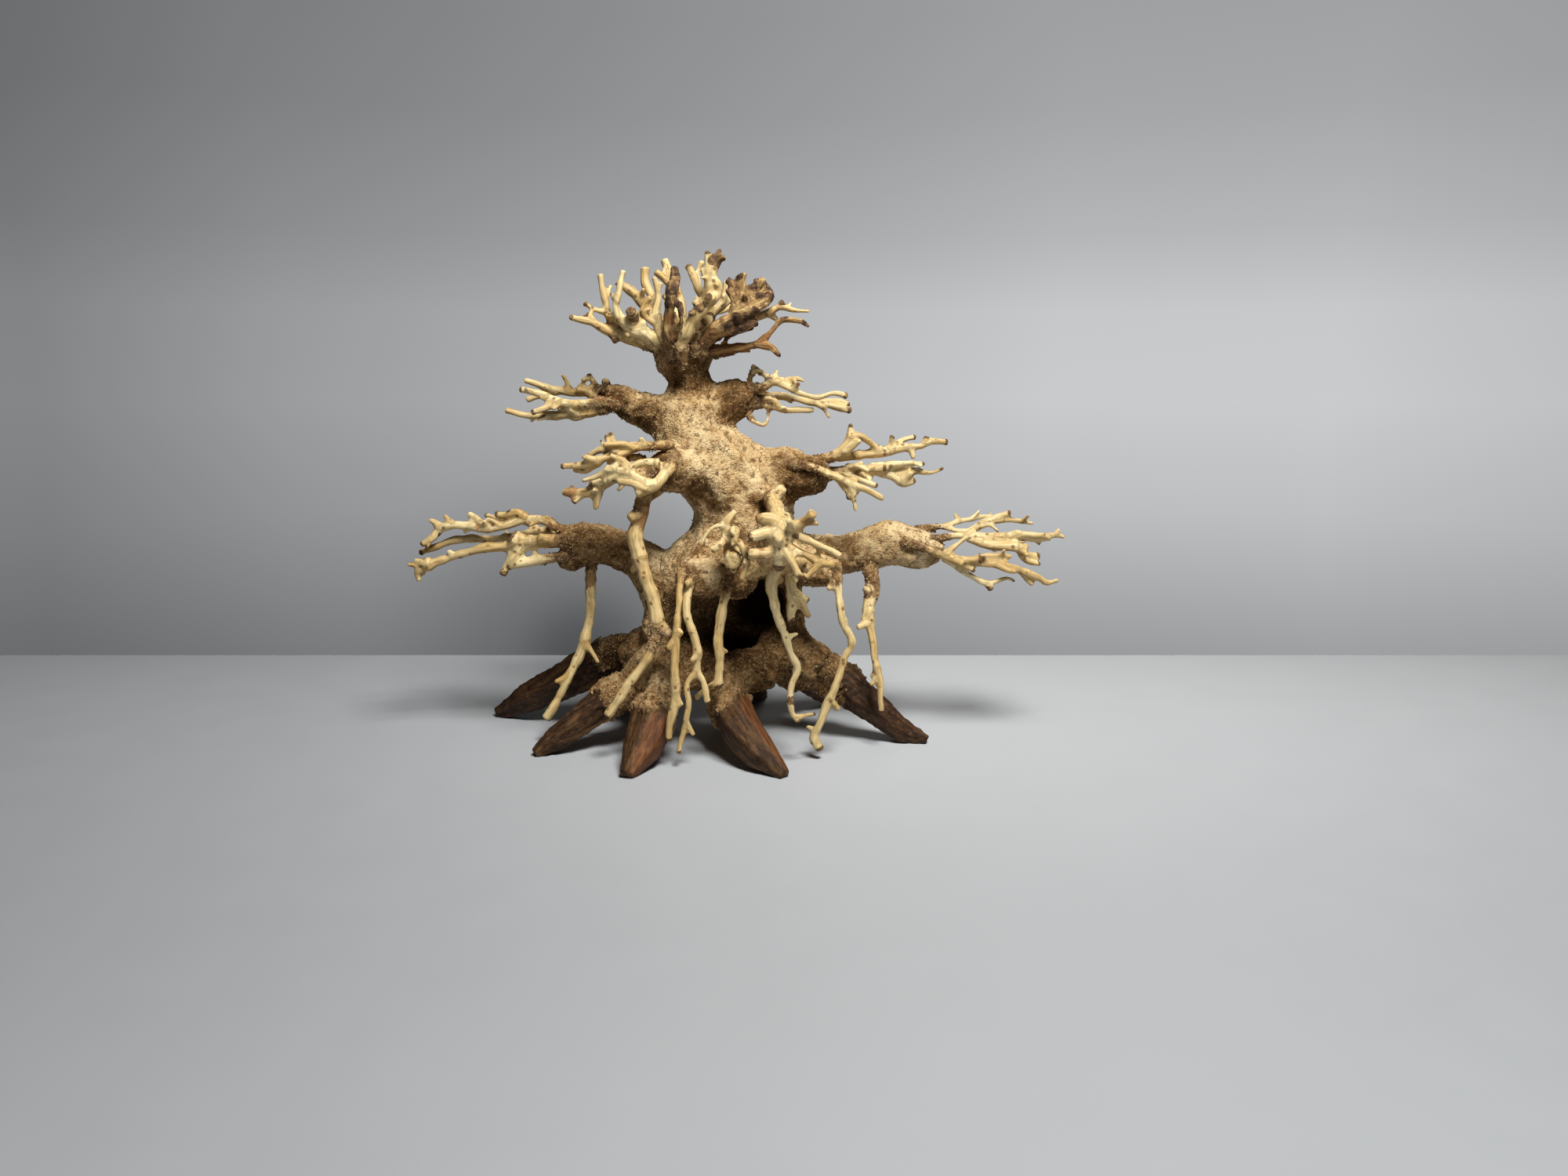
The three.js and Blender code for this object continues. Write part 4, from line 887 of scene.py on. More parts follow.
middleTwigs = {
    "middle_left_twig_top": [
        [
            [-24, -24, 130.5, 1.8], [-33, -28, 130.6, 1.9], [-40, -31, 129.2, 1.8], [-45, -33, 127.4, 2],
            [-51, -34, 125.6, 1.8], [-58, -35, 123.4, 1.7], [-67, -36, 122.4, 1.2],
        ],
        [[-35, -28, 130.8, 1.2], [-42, -28, 131, 0.9]],
        [[-45.5, -33, 128, 1.4], [-47.8, -33, 131, 1.3], [-49.4, -33, 135, 0.7]],
        [[-45, -32, 128.5, 1.4], [-52, -30, 129, 1.5], [-57, -29, 126.4, 1.1]],
        [[-52, -34, 124.5, 1.5], [-58, -33, 121, 1.4], [-63.5, -33, 121, 0.9]],
    ],
    "middle_left_twig_hook": [
        [
            [-23.5, -25, 126.5, 2.4], [-24.3, -33, 121.5, 2.4], [-28, -38, 117, 2.3],
            [-32.5, -40, 114.2, 2.5], [-37, -41, 112, 1.6],
        ],
        [[-31.5, -40, 115.5, 1.8], [-38, -40, 119, 1.8], [-44.5, -39, 121, 1.7], [-49, -38, 121.6, 1.6]],
        [[-45, -39, 121, 1.6], [-45.5, -38, 123.6, 1.4]],
        [[-48, -38, 121, 1.2], [-54, -38, 118.4, 1.2], [-59, -38, 117, 0.9]],
    ],
    "middle_left_twig_low": [
        [
            [-30, -23, 119, 2.2], [-39, -28, 119, 1.9], [-47, -31, 117, 1.8], [-53, -32, 113.8, 2.1],
            [-59, -33, 112, 2.3], [-67.5, -34, 112, 1.4],
        ],
        [[-60.5, -33, 111, 1.4], [-63, -35, 108, 1.3]],
        [[-54.5, -32, 112.5, 1.5], [-54, -33, 108, 1.1], [-54.5, -33, 105, 0.9]],
        [[-41, -28, 118, 1.2], [-45.8, -31, 112.6, 0.8]],
        [[-32, -24, 121, 1.6], [-38, -26, 125.4, 1.5], [-42.5, -27, 125, 1.3]],
        [[-33, -25, 117.5, 2], [-38.5, -31, 114.4, 2.3]],
    ],
    "middle_right_twig_top": [
        [
            [33, -2, 122, 1.9], [41, -5, 124, 2.3], [46, -6, 126.5, 2.4], [50, -6, 132.5, 2],
            [50.4, -6, 138.5, 0.8],
        ],
        [[50, -6, 133, 1.7], [54, -6, 133.5, 1.6], [58, -5, 131, 1.5], [62, -3, 127.6, 1.6]],
        [[48, -7, 127, 1.8], [54, -10, 131.8, 1.2]],
        [
            [45, -5, 124.5, 2], [56, -3, 125.3, 2.2], [66, -3, 126.6, 2.3], [73, -3, 128, 1.7],
            [80, -3, 128.6, 1.5], [84.5, -3, 131, 1.5], [91.8, -3, 130.4, 1.3],
        ],
        [[67.8, -3, 126.5, 1.3], [68.3, -4, 133.2, 1.1]],
        [[69, -2, 128, 1.3], [73, 1, 131, 1.2], [78.8, 2, 132, 1.2]],
        [[82, -3, 130, 1], [82.9, -3, 133, 0.8]],
    ],
    "middle_right_twig_middle": [
        [
            [36, -3, 115.5, 2.7], [48, -2, 118, 2.3], [58, -2, 118.5, 2.3], [67, -3, 116.8, 2.3],
            [73, -4, 113.2, 2.1], [78.5, -4, 114, 1],
        ],
        [[70, -3, 116.5, 1.5], [78, -3, 118, 1.3], [84, -3, 117.5, 1], [90.6, -3, 119.6, 0.7]],
        [[60, -3, 119.5, 1.7], [68, -5, 121, 1.7], [75, -5, 121.6, 1.1], [81.8, -5, 121.4, 1]],
        [[57, -3, 118, 1.6], [65.5, -8, 119.6, 1.8]],
        [[49, -3, 119.5, 1.6], [54, -8, 120.6, 1.4], [58.3, -9, 118.2, 0.9]],
        [[49, -3, 116.8, 1.6], [56, -7, 114.3, 1.4], [62, -8, 112.4, 1.1]],
    ],
    "middle_right_twig_low": [
        [
            [25, -15, 122, 1.7], [34, -16, 120.5, 1.7], [42, -17, 117.6, 1.7], [50, -18, 114, 1.7],
            [57, -18, 111.3, 1.5], [64, -18, 108, 1.2],
        ],
        [[50, -18, 114, 1.4], [51, -18, 109, 1.2], [52, -18, 102.6, 0.9]],
        [[50.5, -18, 110, 1.2], [48.4, -17, 107.8, 0.9]],
        [[45, -17, 116, 1.3], [47.5, -17, 111.5, 1.1], [50.6, -18, 110.4, 1.1]],
    ],
}
lowerTwigs = {
    "lower_left_twig_top": [
        [
            [-74, -3, 93, 2], [-83, -4, 96.8, 1.9], [-90, -4, 97, 2], [-97, -4, 94.6, 1.6],
            [-107, -4, 93.6, 2], [-115, -4, 94.6, 1.8], [-122, -4, 95, 1.8], [-127, -4, 92.5, 1.9],
            [-130, -5, 89, 1.7], [-134.3, -6, 87, 1.3],
        ],
        [[-126.5, -4, 93.5, 1.6], [-129, -4, 96.2, 1.2], [-131, -4, 96.5, 0.8]],
        [[-120.5, -4, 95.5, 1.2], [-124.6, -3, 99.5, 0.8]],
        [[-107.5, -4, 94.5, 1.6], [-111.5, -3, 97.8, 1.5], [-114.8, -3, 99.8, 1.3]],
        [[-99, -4, 94.6, 1.1], [-106, -6, 98.6, 0.6]],
        [[-88.5, -4, 97.4, 1.8], [-92.5, -4, 100.4, 2], [-97.5, -3, 99.2, 1.5], [-102.8, -3, 100, 1.3]],
        [[-75.5, -4, 94, 1.2], [-80.5, -5, 99, 0.6]],
    ],
    "lower_left_twig_middle": [
        [
            [-73, -8, 88.5, 2.8], [-84, -9, 88.6, 2.7], [-91.5, -9, 88, 3], [-99, -9, 86.2, 2.3],
            [-108, -9, 85.4, 2], [-115, -9, 83.4, 1.8], [-123, -9, 81, 1.8], [-130, -9, 78.8, 2],
            [-135.5, -9, 75.5, 1.6], [-135, -9, 71, 1],
        ],
        [[-131, -9, 78.8, 1.6], [-139.6, -9, 78.6, 0.9]],
        [[-131, -9, 79.4, 1.4], [-137, -9, 80.8, 0.9]],
        [[-120, -9, 82, 1.2], [-122, -10, 84.4, 0.8]],
        [[-91.5, -9, 87, 2.2], [-94.5, -10, 82, 2], [-97, -10, 78, 1.8], [-98.8, -11, 74.4, 1.5]],
        [[-72.5, -8, 82, 2.2], [-83, -9, 80.6, 2.2], [-90, -10, 79.2, 2.1], [-96.5, -10, 78, 1.9]],
    ],
    "lower_left_twig_back": [
        [
            [-74, 4, 91, 2], [-84, 4, 91.6, 1.8], [-95, 4, 89.6, 1.7], [-106, 3, 87.6, 1.7],
            [-114, 1, 88.6, 1.9], [-122, 0, 87.6, 1.7], [-129, -1, 85, 1.6], [-136.5, -2, 82.6, 1.3],
        ],
        [[-85, 4, 91.5, 1.5], [-93, 9, 95, 1.5], [-103, 13, 95.4, 1.3], [-112, 16, 97, 1]],
        [[-96, 4, 89.5, 1.4], [-105, 10, 87, 1.4], [-115, 15, 86.4, 1.2], [-124, 18, 84, 0.9]],
    ],
    "lower_right_twig_top": [
        [
            [80, 3, 92, 1.8], [90, 3, 93.4, 1.3], [98, 2, 91.4, 1.3], [104, 1, 92, 1.5], [110, 1, 95.4, 1.9],
            [115, 1, 98, 1.6], [120.6, 1, 99.8, 1.2],
        ],
        [[113.5, 1, 96.4, 1.4], [122, 2, 96.4, 1.2], [130.8, 2, 95.3, 0.7]],
        [[107, 1, 93.4, 1.4], [111.5, -1, 94, 0.9], [115.2, -2, 91.6, 0.6]],
        [[92, 3, 93, 1.3], [100, 8, 95, 1.3], [110, 13, 96.5, 1.1], [119, 16, 95, 0.8]],
    ],
    "lower_right_twig_middle": [
        [
            [80, -3, 89, 1.9], [89, -4, 89.2, 1.5], [97, -4, 90.4, 1.5], [105, -4, 90.2, 1.6],
            [114, -4, 89.8, 1.9], [124, -4, 90.8, 1.6], [133, -4, 90.4, 1.4], [140, -4, 90.5, 1.2],
            [143.4, -4, 89.4, 0.8],
        ],
        [[139.5, -4, 90.5, 1], [141.2, -4, 93.2, 0.8]],
        [[119, -4, 90.4, 1.1], [122.8, -5, 92.8, 0.8]],
        [[121, -4, 90, 1.4], [130, -3, 88, 1.1], [138, -2, 88.3, 0.7]],
        [
            [101, -4, 89.6, 1.5], [108, -6, 87, 1.7], [116, -7, 86, 2.1], [123, -7, 85.4, 2.3],
            [124.5, -7, 82, 1.7], [127.5, -7, 79.4, 1.3], [132.6, -7, 78.2, 0.7],
        ],
        [[123, -7, 85.4, 1.8], [126.6, -9, 86.4, 1.4]],
        [[124, -7, 83, 1.6], [128, -5, 82, 1.7], [132.6, -4, 81.4, 1.5]],
        [[106, -4, 89.4, 1.3], [114, 4, 86.5, 1.4], [123, 10, 85, 1.2], [131, 14, 86, 0.8]],
    ],
    "lower_right_twig_low": [
        [
            [74, -9, 88, 2], [82, -10, 85.6, 1.8], [90, -11, 83, 2], [97, -12, 80, 1.8],
            [105, -12, 79.6, 1.4], [114, -12, 78.8, 1.6], [124, -12, 76, 1.7], [131, -12, 73, 1.5],
            [134.5, -12, 71, 1.3], [139.8, -12, 72, 0.8],
        ],
        [[90, -11, 83.4, 1.4], [95, -11, 87, 1.3], [100.4, -11, 91.2, 0.9]],
        [[123, -12, 76.4, 1.3], [126, -11, 72.6, 1.1], [128.6, -11, 69.8, 1]],
        [[113, -12, 79, 1.3], [117, -14, 77, 1.3], [120.8, -14, 75.8, 1.2]],
        [[98, -12, 79.6, 1.3], [103.6, -14, 76.6, 1]],
        [
            [90, -11, 81.6, 1.3], [97, -10, 76.8, 1.5], [104, -10, 73, 1.4], [110, -10, 70.6, 1.3],
            [117.6, -10, 72.4, 0.9], [121.4, -10, 71, 0.5],
        ],
        [[109.5, -10, 70.6, 1.1], [111.2, -11, 67.6, 1.2]],
        [[95, -12, 81, 1.4], [106, -15, 82, 1.7]],
        [[100, -12, 80.2, 1.4], [109, -11, 82.4, 1.6], [119.6, -10, 82.2, 1]],
    ],
}
frontTwigs = {
    "front_twig_right": [
        [
            [16.5, -18, 108, 3.2], [18.5, -32, 106, 3.2], [20, -45, 101.5, 3.5], [20.8, -54, 97, 4],
            [20.8, -56, 90.5, 3.2],
        ],
        [[20, -54, 98.5, 2.4], [13.5, -56, 98.4, 2.2], [8.5, -57, 97, 1.8]],
        [[20, -55, 92, 2.3], [14, -55, 90, 1.9], [9.5, -55, 90.2, 1.7]],
        [[21.5, -54, 99.5, 2.2], [26.5, -57, 101.8, 1.8], [30, -60, 103.6, 1.7], [33.4, -62, 107.6, 1.7]],
        [[28.5, -59, 103, 1.5], [35.6, -60, 102.6, 0.9]],
        [[23, -55, 98.6, 2.2], [27, -58, 98, 1.8], [34, -60, 94.8, 1.4], [44, -62, 90.3, 1.3]],
        [[22.5, -56, 93.6, 1.9], [30, -58, 90.6, 1.5], [37, -60, 87.4, 1.7], [41, -63, 86.8, 1.5]],
        [[36, -60, 87.4, 1.4], [30.2, -61, 81.4, 1.1]],
        [[22.5, -57, 92, 1.7], [25.8, -60, 86.4, 1.5], [28, -61, 82.6, 1.8]],
        [[20.5, -55, 96.6, 2], [19.6, -61.5, 96.4, 1.5]],
    ],
    "front_twig_left": [
        [[2, -30, 86, 3.3], [1.6, -38, 86.5, 3.3], [1.4, -46, 86.6, 3.1]],
        [[0, -36, 88, 2], [-1, -42, 94, 1.8], [-1, -43, 100, 1.8], [2.6, -42, 105.4, 1.5]],
        [[-1, -43, 100, 1.2], [-6, -45, 99.6, 0.9], [-8.8, -46, 96.6, 1.1], [-10.3, -47, 92.4, 0.6]],
        [[-1, -43, 95.5, 1.7], [-3.4, -47, 92.6, 1.5], [-6.6, -48, 90.4, 1.3]],
        [[-0.5, -43, 95.6, 1.8], [3.4, -48, 98.6, 2.4]],
        [
            [0, -43, 94.6, 1.6], [4.4, -50, 94, 1.5], [7, -52, 89.6, 1.5], [7.6, -53, 85.6, 1.4],
            [5.4, -53, 79.6, 1.3],
        ],
    ],
    "rear_twig": [
        [[3.5, 37, 104, 2.6], [-2, 43, 104.5, 2.2], [-9, 52, 103, 1.8], [-15, 62, 104, 1.2]],
        [[-6, 47, 104, 1.5], [-12, 50, 108, 1.3], [-18, 53, 110, 1]],
        [[-8, 50, 103.6, 1.4], [-6, 57, 107, 1.3], [-7, 64, 109, 0.9]],
        [[-4, 45, 103.5, 1.5], [-10, 49, 98.6, 1.4], [-14, 55, 95, 1]],
        [[3.5, 37, 104, 2.4], [9, 45, 105.5, 2], [14, 55, 105, 1.6], [19, 63, 107, 1.1]],
        [[11, 49, 105.6, 1.5], [17, 51, 109, 1.3], [22, 56, 110, 0.9]],
        [[8, 44, 105.4, 1.5], [6, 53, 110, 1.3], [5, 60, 113, 0.9]],
        [[8, 44, 105, 1.5], [14, 48, 101, 1.4], [18, 56, 98, 1]],
    ],
}

# short shoots, knobs and burls that stand on the twigs above
extraShoots = {
    "crown_twig_far_left": [
        [[-56, -17, 180, 1.4], [-58.4, -17, 182.8, 1.6]],
        [[-29, -8, 171.4, 4.4], [-36, -11, 173.6, 3.8], [-42, -13, 176, 2.8], [-48, -14, 178.4, 1.9]],
    ],
    "crown_twig_left": [
        [[-34.2, -16, 179.8, 1.5], [-40, -18, 178.5, 1.4], [-43.2, -19, 180.5, 1.3], [-46.6, -18, 188.2, 1]],
        [[-38.5, -17, 181, 1.6], [-39.4, -23, 183.5, 2.2]],
        [[-28, -11, 170.8, 4.4], [-34, -14.5, 174.6, 3.6], [-39, -16.5, 177.6, 2.6], [-43, -18, 181, 1.9]],
    ],
    "crown_twig_front_left": [[[-24, -13, 169.5, 3.8], [-28, -15, 176, 3], [-29.8, -14, 183, 2]]],
    "crown_twig_tall": [[[-21, -11, 170, 3.6], [-22, -10, 178, 2.6], [-22.5, -5, 187, 1.8]]],
    "crown_twig_dark": [
        [[-20.5, -21, 177, 1.2], [-19.6, -24.6, 181, 1.1], [-19.9, -25.6, 187.4, 1]],
        [[-21.4, -14, 172, 1.6], [-22.4, -15, 178.6, 1.5], [-23.2, -16, 184, 1.3]],
    ],
    "crown_twig_front": [
        [[-8, -20, 194, 1.5], [-6.6, -19, 199, 1.9], [-5.4, -18, 206, 1.8]],
        [[-9, -19, 196, 1.2], [-10.7, -18, 201.5, 1.1]],
    ],
    "crown_twig_back_right": [
        [[-15, -12, 170, 3.6], [-11, -11, 177, 2.6], [-9, -7, 183, 1.9]],
        [[-8, -3, 184, 1.6], [-2.6, -2, 188, 1.5], [1.7, 0, 189.6, 1.4], [8, 3, 187, 1.3]],
    ],
    "crown_twig_right_dark": [
        [[8, -17, 188, 2.4], [12, -15, 193, 2.6], [15, -14, 195, 1.8]],
        [[6.5, -17, 190, 1.8], [-1, -16, 197, 1.3]],
        [[12, -16, 189, 2], [17.5, -15, 191.5, 1.9]],
        [[5, -17, 191, 1.7], [2.8, -16, 194.4, 1.4]],
        [[9, -16, 189, 1.7], [7.2, -15, 195, 1.4]],
        [[11, -15, 190, 1.6], [10.8, -14, 197.2, 1.3]],
        [[14, -15, 190, 1.7], [14.8, -13, 194.6, 1.4]],
        [[12, -17, 188, 1.7], [13, -20.5, 191.4, 1.3]],
        [[2, -18, 189, 1.4], [-0.8, -18, 193.4, 1.2]],
        [[8, -19, 188, 1.6], [6.2, -21.6, 191, 1.2]],
        [[4, -18, 194, 1.4], [5.4, -18, 199.4, 1.2]],
    ],
    "crown_twig_right": [[[-1, -7, 178.5, 1.6], [7, -8, 182, 1.7]]],
    "crown_twig_low_right": [[[-2.8, -6, 171.7, 1.2], [-1, -4, 175.2, 1.2], [8.7, -3, 178.2, 1]]],
    "upper_left_twig_top": [[[-57.6, 0, 149.3, 2.3], [-61.6, 0, 152, 2.3], [-66, 0, 153, 2.1]]],
    "lower_left_twig_middle": [
        [[-91.5, -9, 88.2, 3.3], [-95, -9, 90, 3.4]],
        [[-130.5, -9, 79, 2.3], [-134, -9, 78.6, 2.3]],
    ],
    "front_twig_right": [
        [
            [20, -48, 102, 4.6], [21, -54, 99, 5.2], [20.8, -56, 95, 4], [20.6, -56, 90, 3.4],
            [20.4, -54.5, 85.5, 3],
        ],
        [[20.4, -54, 90, 3.2], [23, -53, 86, 2.4], [25, -51, 81, 1.3]],
        [[20.4, -54.5, 88, 3], [19.2, -52, 83.5, 2.2], [17.4, -50, 79.5, 1.3]],
        [[20, -55, 91, 2.6], [14, -56, 90.4, 2.4], [8.5, -56, 90.4, 2.2]],
        [[19, -53, 101.5, 3], [15.6, -55, 103.8, 2.3], [11.4, -56, 104.1, 1.9]],
        [[22, -55, 100.5, 2.6], [27, -58, 100.6, 2], [30.6, -61, 104.6, 1.7], [33.2, -62.5, 107, 1.7]],
    ],
    "front_twig_left": [[[1.4, -40, 88, 3.2], [1.6, -47, 87.4, 3.5], [1.7, -50.6, 87.1, 3.7]]],
    "left_hanging_root": [[[-33, -30, 115, 3.4], [-34.4, -32.5, 111.5, 3.2], [-35.6, -34, 106, 3.1]]],
    "middle_left_twig_top": [
        [[-45.8, -31, 129.3, 1.4], [-47, -31, 133, 1.3], [-48, -31, 136, 1.2]],
        [[-38, -31, 129.5, 1.4], [-43, -34, 132, 1.4], [-50, -36, 131, 1.2]],
    ],
    "middle_left_twig_hook": [
        [[-28, -36, 124, 1.5], [-36, -38, 123.6, 1.6], [-44, -39, 119, 1.5], [-50, -38, 116.5, 1.3]],
        [[-40, -40, 119.4, 1.4], [-42, -38, 125, 1.3], [-47, -37, 127.5, 1.2]],
        [[-33, -41, 114, 2], [-39, -41, 116.5, 1.6], [-44, -40, 116.4, 1.5]],
    ],
    "middle_left_twig_low": [
        [[-44, -30, 117.6, 1.4], [-50, -33, 117.4, 1.4], [-56.6, -34, 115.4, 1.2]],
        [[-52, -32, 114, 1.4], [-53, -33, 109, 1.2], [-54, -33, 105.6, 1.1]],
    ],
}

# patches of wood with something on it, as [x, y, z, reach]: bark that was left on, yellow-brown
# stain, and crumbs that cling
woodPatches = {
    "bark": {
        "crown_twig_far_left": [[-47.5, -15, 173.3, 2], [-58.4, -17, 182.8, 2.4], [-60, -17, 188.6, 1.8]],
        "crown_twig_left": [[-39.4, -24, 184, 3]],
        "crown_twig_dark": [
            [-23.6, -25, 194, 4.6], [-22, -22, 200, 4.4], [-24.4, -25.4, 187.4, 2.4],
            [-19.7, -26.4, 184, 3.4],
        ],
        "crown_twig_front": [[-7.8, -28, 190.2, 2.2], [-4.6, -20, 204, 4]],
        "crown_twig_right_dark": [
            [2, -22, 178, 4.6], [9, -23, 182, 4], [17, -15, 192, 3.4], [3.6, -17, 199, 2.6],
            [12, -19, 179, 3],
        ],
        "crown_twig_low_right": [[32, -14, 178, 4], [20.6, -18, 166.4, 3], [22, -14, 182.5, 2.2]],
        "crown_twig_right": [[21, -10, 188, 1.8]],
        "middle_left_twig_low": [[-62.9, -34, 108, 2.2]],
        "middle_right_twig_middle": [[65.8, -10, 120, 2.4], [90.4, -3, 119.6, 2]],
        "lower_left_twig_top": [[-127, -4, 91, 1.8]],
        "lower_left_twig_middle": [[-98.6, -11, 74, 2.6]],
        "lower_right_twig_middle": [[105, -6, 83.5, 2.4], [132.6, -4, 81.4, 2]],
        "lower_right_twig_low": [[110.6, -10, 68.4, 2.2]],
        "front_twig_right": [[18.6, -64, 96.4, 1.8], [35.4, -62, 103, 1.8], [26.6, -59, 97.7, 1.8]],
        "front_twig_left": [[3.8, -51, 98.7, 1.8], [1.7, -51.6, 87.1, 1.7]],
        "right_hanging_root": [[60.8, -12, 65.3, 2.4]],
        "hooked_hanging_root": [[25, -44, 28, 2]],
        "short_hanging_root": [[25.6, -46, 61.4, 1.8]],
    },
    "stain": {
        "left_hanging_root": [[-34, -31, 113, 6], [-36, -33.5, 107, 6], [-36.6, -34, 101, 5]],
        "right_hanging_root": [[58.5, -4, 79, 8], [59.8, -8, 72, 6], [60, -11, 66, 5]],
        "far_left_hanging_root": [[-62.2, -3.5, 71, 4]],
        "crown_twig_dark": [[-24.8, -17, 174, 7], [-25, -21, 181, 4]],
        "crown_twig_front": [[-20.4, -15, 164, 5.5]],
        "crown_twig_far_left": [[-30, -7, 171, 4]],
        "crown_twig_low_right": [[-2, -10, 170, 12], [16, -14, 173, 7]],
        "crown_twig_right_dark": [[-6, -16, 174, 6]],
        "front_twig_right": [
            [11.6, -56, 104, 3.4], [31, -61, 103.6, 2.6], [14, -55.6, 90, 4], [23, -53, 84, 2.6],
        ],
        "front_twig_left": [[-3, -44, 94, 3], [0, -40, 90, 5]],
        "middle_left_twig_top": [[-28, -30, 130, 4]],
        "middle_left_twig_low": [[-64, -34, 111.5, 4]],
        "lower_left_twig_top": [[-110, -4, 95, 2.6]],
    },
    "crumb": {
        "right_hanging_root": [[58.8, -5, 78, 6.5], [60.4, -9, 71.5, 5], [58.6, -11.5, 66.5, 3]],
        "left_hanging_root": [[-34, -32, 112, 3.6], [-36, -34, 106, 2.6]],
        "far_left_hanging_root": [[-62.2, -3, 71, 2.4]],
        "crown_twig_dark": [[-25.4, -18.5, 174.6, 3]],
        "front_twig_left": [[-1.4, -48.6, 84.6, 2.6], [4.6, -48.6, 90.4, 1.8]],
        "front_twig_right": [[9.9, -56, 101.8, 2.2]],
    },
}
# where glued dust runs on along a hanging root
dustedSpans = {"left_hanging_root": {"top": 0.058, "bottom": 0.047}}

coatedNodes = [
    "stump", "trunk", "lower_left_limb", "lower_right_limb", "front_left_limb", "front_right_limb",
    "middle_left_limb", "middle_right_limb", "upper_left_limb", "upper_right_limb", "rear_limb",
]


def nodeFinder(nodes):
    # one tree over the faces of several CAD solids, with the solid of each face
    corners, faces, owners = [], [], []
    for k, node in enumerate(nodes):
        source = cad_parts[node]
        shift = len(corners)
        corners += [source.matrix_world @ v.co for v in source.data.vertices]
        for polygon in source.data.polygons:
            faces.append([shift + i for i in polygon.vertices])
            owners.append(k)
    return bvhtree.BVHTree.FromPolygons(corners, faces), owners


coatFinder, coatOwners = nodeFinder(coatedNodes)


def grownStroke(stroke, chance, look, isMain):
    # samples of one stroke, bent and swollen a little as real wood is, with its knots
    samples = []
    travelled = 0.0
    raw = samplesAlong(stroke, look["step"])
    start, radius = raw[0]
    coatSpot, outward, _, _ = coatFinder.find_nearest(start)
    if isMain or (start - coatSpot).dot(outward) < look["rootedNear"]:
        inside = coatSpot - outward * look["rooted"]
        sunk = [(inside.lerp(start, share), radius * (0.5 + 0.5 * share)) for share in (0, 0.3, 0.6, 0.8)]
        raw = sunk + raw
    length = sum((b[0] - a[0]).length for a, b in zip(raw, raw[1:]))
    knots = []
    at = look["knotEvery"] * chance.uniform(*look["knotFirst"])
    while at < length - look["knotEnd"]:
        knots.append(at)
        at += look["knotEvery"] * chance.uniform(*look["knotNext"])
    for i, (spot, radius) in enumerate(raw):
        if i:
            travelled += (spot - raw[i - 1][0]).length
        knot = max([math.exp(-(((travelled - k) / look["knotReach"]) ** 2)) for k in knots], default=0.0)
        bent = spot + noise.noise_vector(spot * look["wanderSize"]) * look["wander"]
        swell = look["swell"] * noise.noise(spot * look["swellSize"])
        swollen = radius * (1 + swell + look["knotSwell"] * knot)
        flare = "base" if isMain else "fork"
        swollen *= 1 + (look[flare + "Swell"] - 1) * max(0.0, 1 - travelled / look[flare + "Reach"])
        samples.append([bent, swollen, travelled])
    if chance.random() < look["knobShare"]:
        for sample in samples[-2:]:
            sample[1] *= look["knob"]
    return samples, knots


def spursOf(samples, knots, chance, look):
    # cut side shoots and low buds, standing at the knots
    spurs = []
    for at in knots:
        k = min(range(len(samples)), key=lambda i: abs(samples[i][2] - at))
        spot, radius, _ = samples[k]
        if not 0 < k < len(samples) - 1:
            continue
        ahead = (samples[k + 1][0] - samples[k - 1][0]).normalized()
        turn = Vector([chance.uniform(-1, 1) for _ in range(3)])
        side = (turn - ahead * turn.dot(ahead)).normalized()
        if chance.random() < look["spurShare"]:
            away = (side * 0.8 + ahead * chance.uniform(*look["spurLean"])).normalized()
            reach = radius + chance.uniform(*look["spurLength"])
            thick = radius * chance.uniform(*look["spurThick"])
            spurs.append([
                [spot + away * reach * share, thick * (1.35 - 0.5 * share), reach * share]
                for share in (0, 0.35, 0.7, 1.0)
            ])
        elif chance.random() < look["budShare"]:
            thick = radius * chance.uniform(*look["budThick"])
            low = spot + side * radius * 0.45
            shares = (-0.6, 0, 0.6)
            spurs.append([[low + ahead * thick * share, thick, thick * (share + 1)] for share in shares])
    return spurs


def tubesAlong(name, lines, spurs, chance, look):
    # a tube along every line, and for each of its points what grain and bark go by there
    curve = bpy.data.curves.new(name, "CURVE")
    curve.dimensions = "3D"
    curve.bevel_depth = 1.0
    curve.bevel_resolution = 2
    curve.use_fill_caps = True
    spots = []
    for k, line in enumerate(lines + spurs):
        spline = curve.splines.new("POLY")
        spline.points.add(len(line) - 1)
        for point, (spot, radius, _) in zip(spline.points, line):
            point.co = (*spot, 1)
            point.radius = radius
        usual, share = (0.3, 1) if k < len(lines) else (0.0, 0.3)
        dark = 1.0 if chance.random() < look["darkShare"] * share else usual
        shift, tintAndShade = chance.uniform(0, 40), chance.uniform(*look["tintRange"])
        for i, (spot, _, travelled) in enumerate(line):
            ahead = (line[min(i + 1, len(line) - 1)][0] - line[max(i - 1, 0)][0]).normalized()
            spots.append((spot, travelled + shift, line[-1][2] - travelled, dark, ahead, tintAndShade))
    piece = newPiece(name, curve)
    mesh = evaluatedMesh(piece)
    bpy.data.objects.remove(piece)
    bpy.data.curves.remove(curve)
    return newPiece(name, mesh), spots


def creviceAt(vertex, owner, reach):
    # how closely another stroke stands before the surface here
    most = 0.0
    for spot, i, gap in middles.find_range(vertex.co, reach * 2.2):
        if middleOwners[i] != owner and gap > 0:
            ahead = clamped(2.2 * (spot - vertex.co).dot(vertex.normal) / gap)
            most = max(most, ahead * clamped(1 - (gap - middleRadii[i]) / reach))
    return most


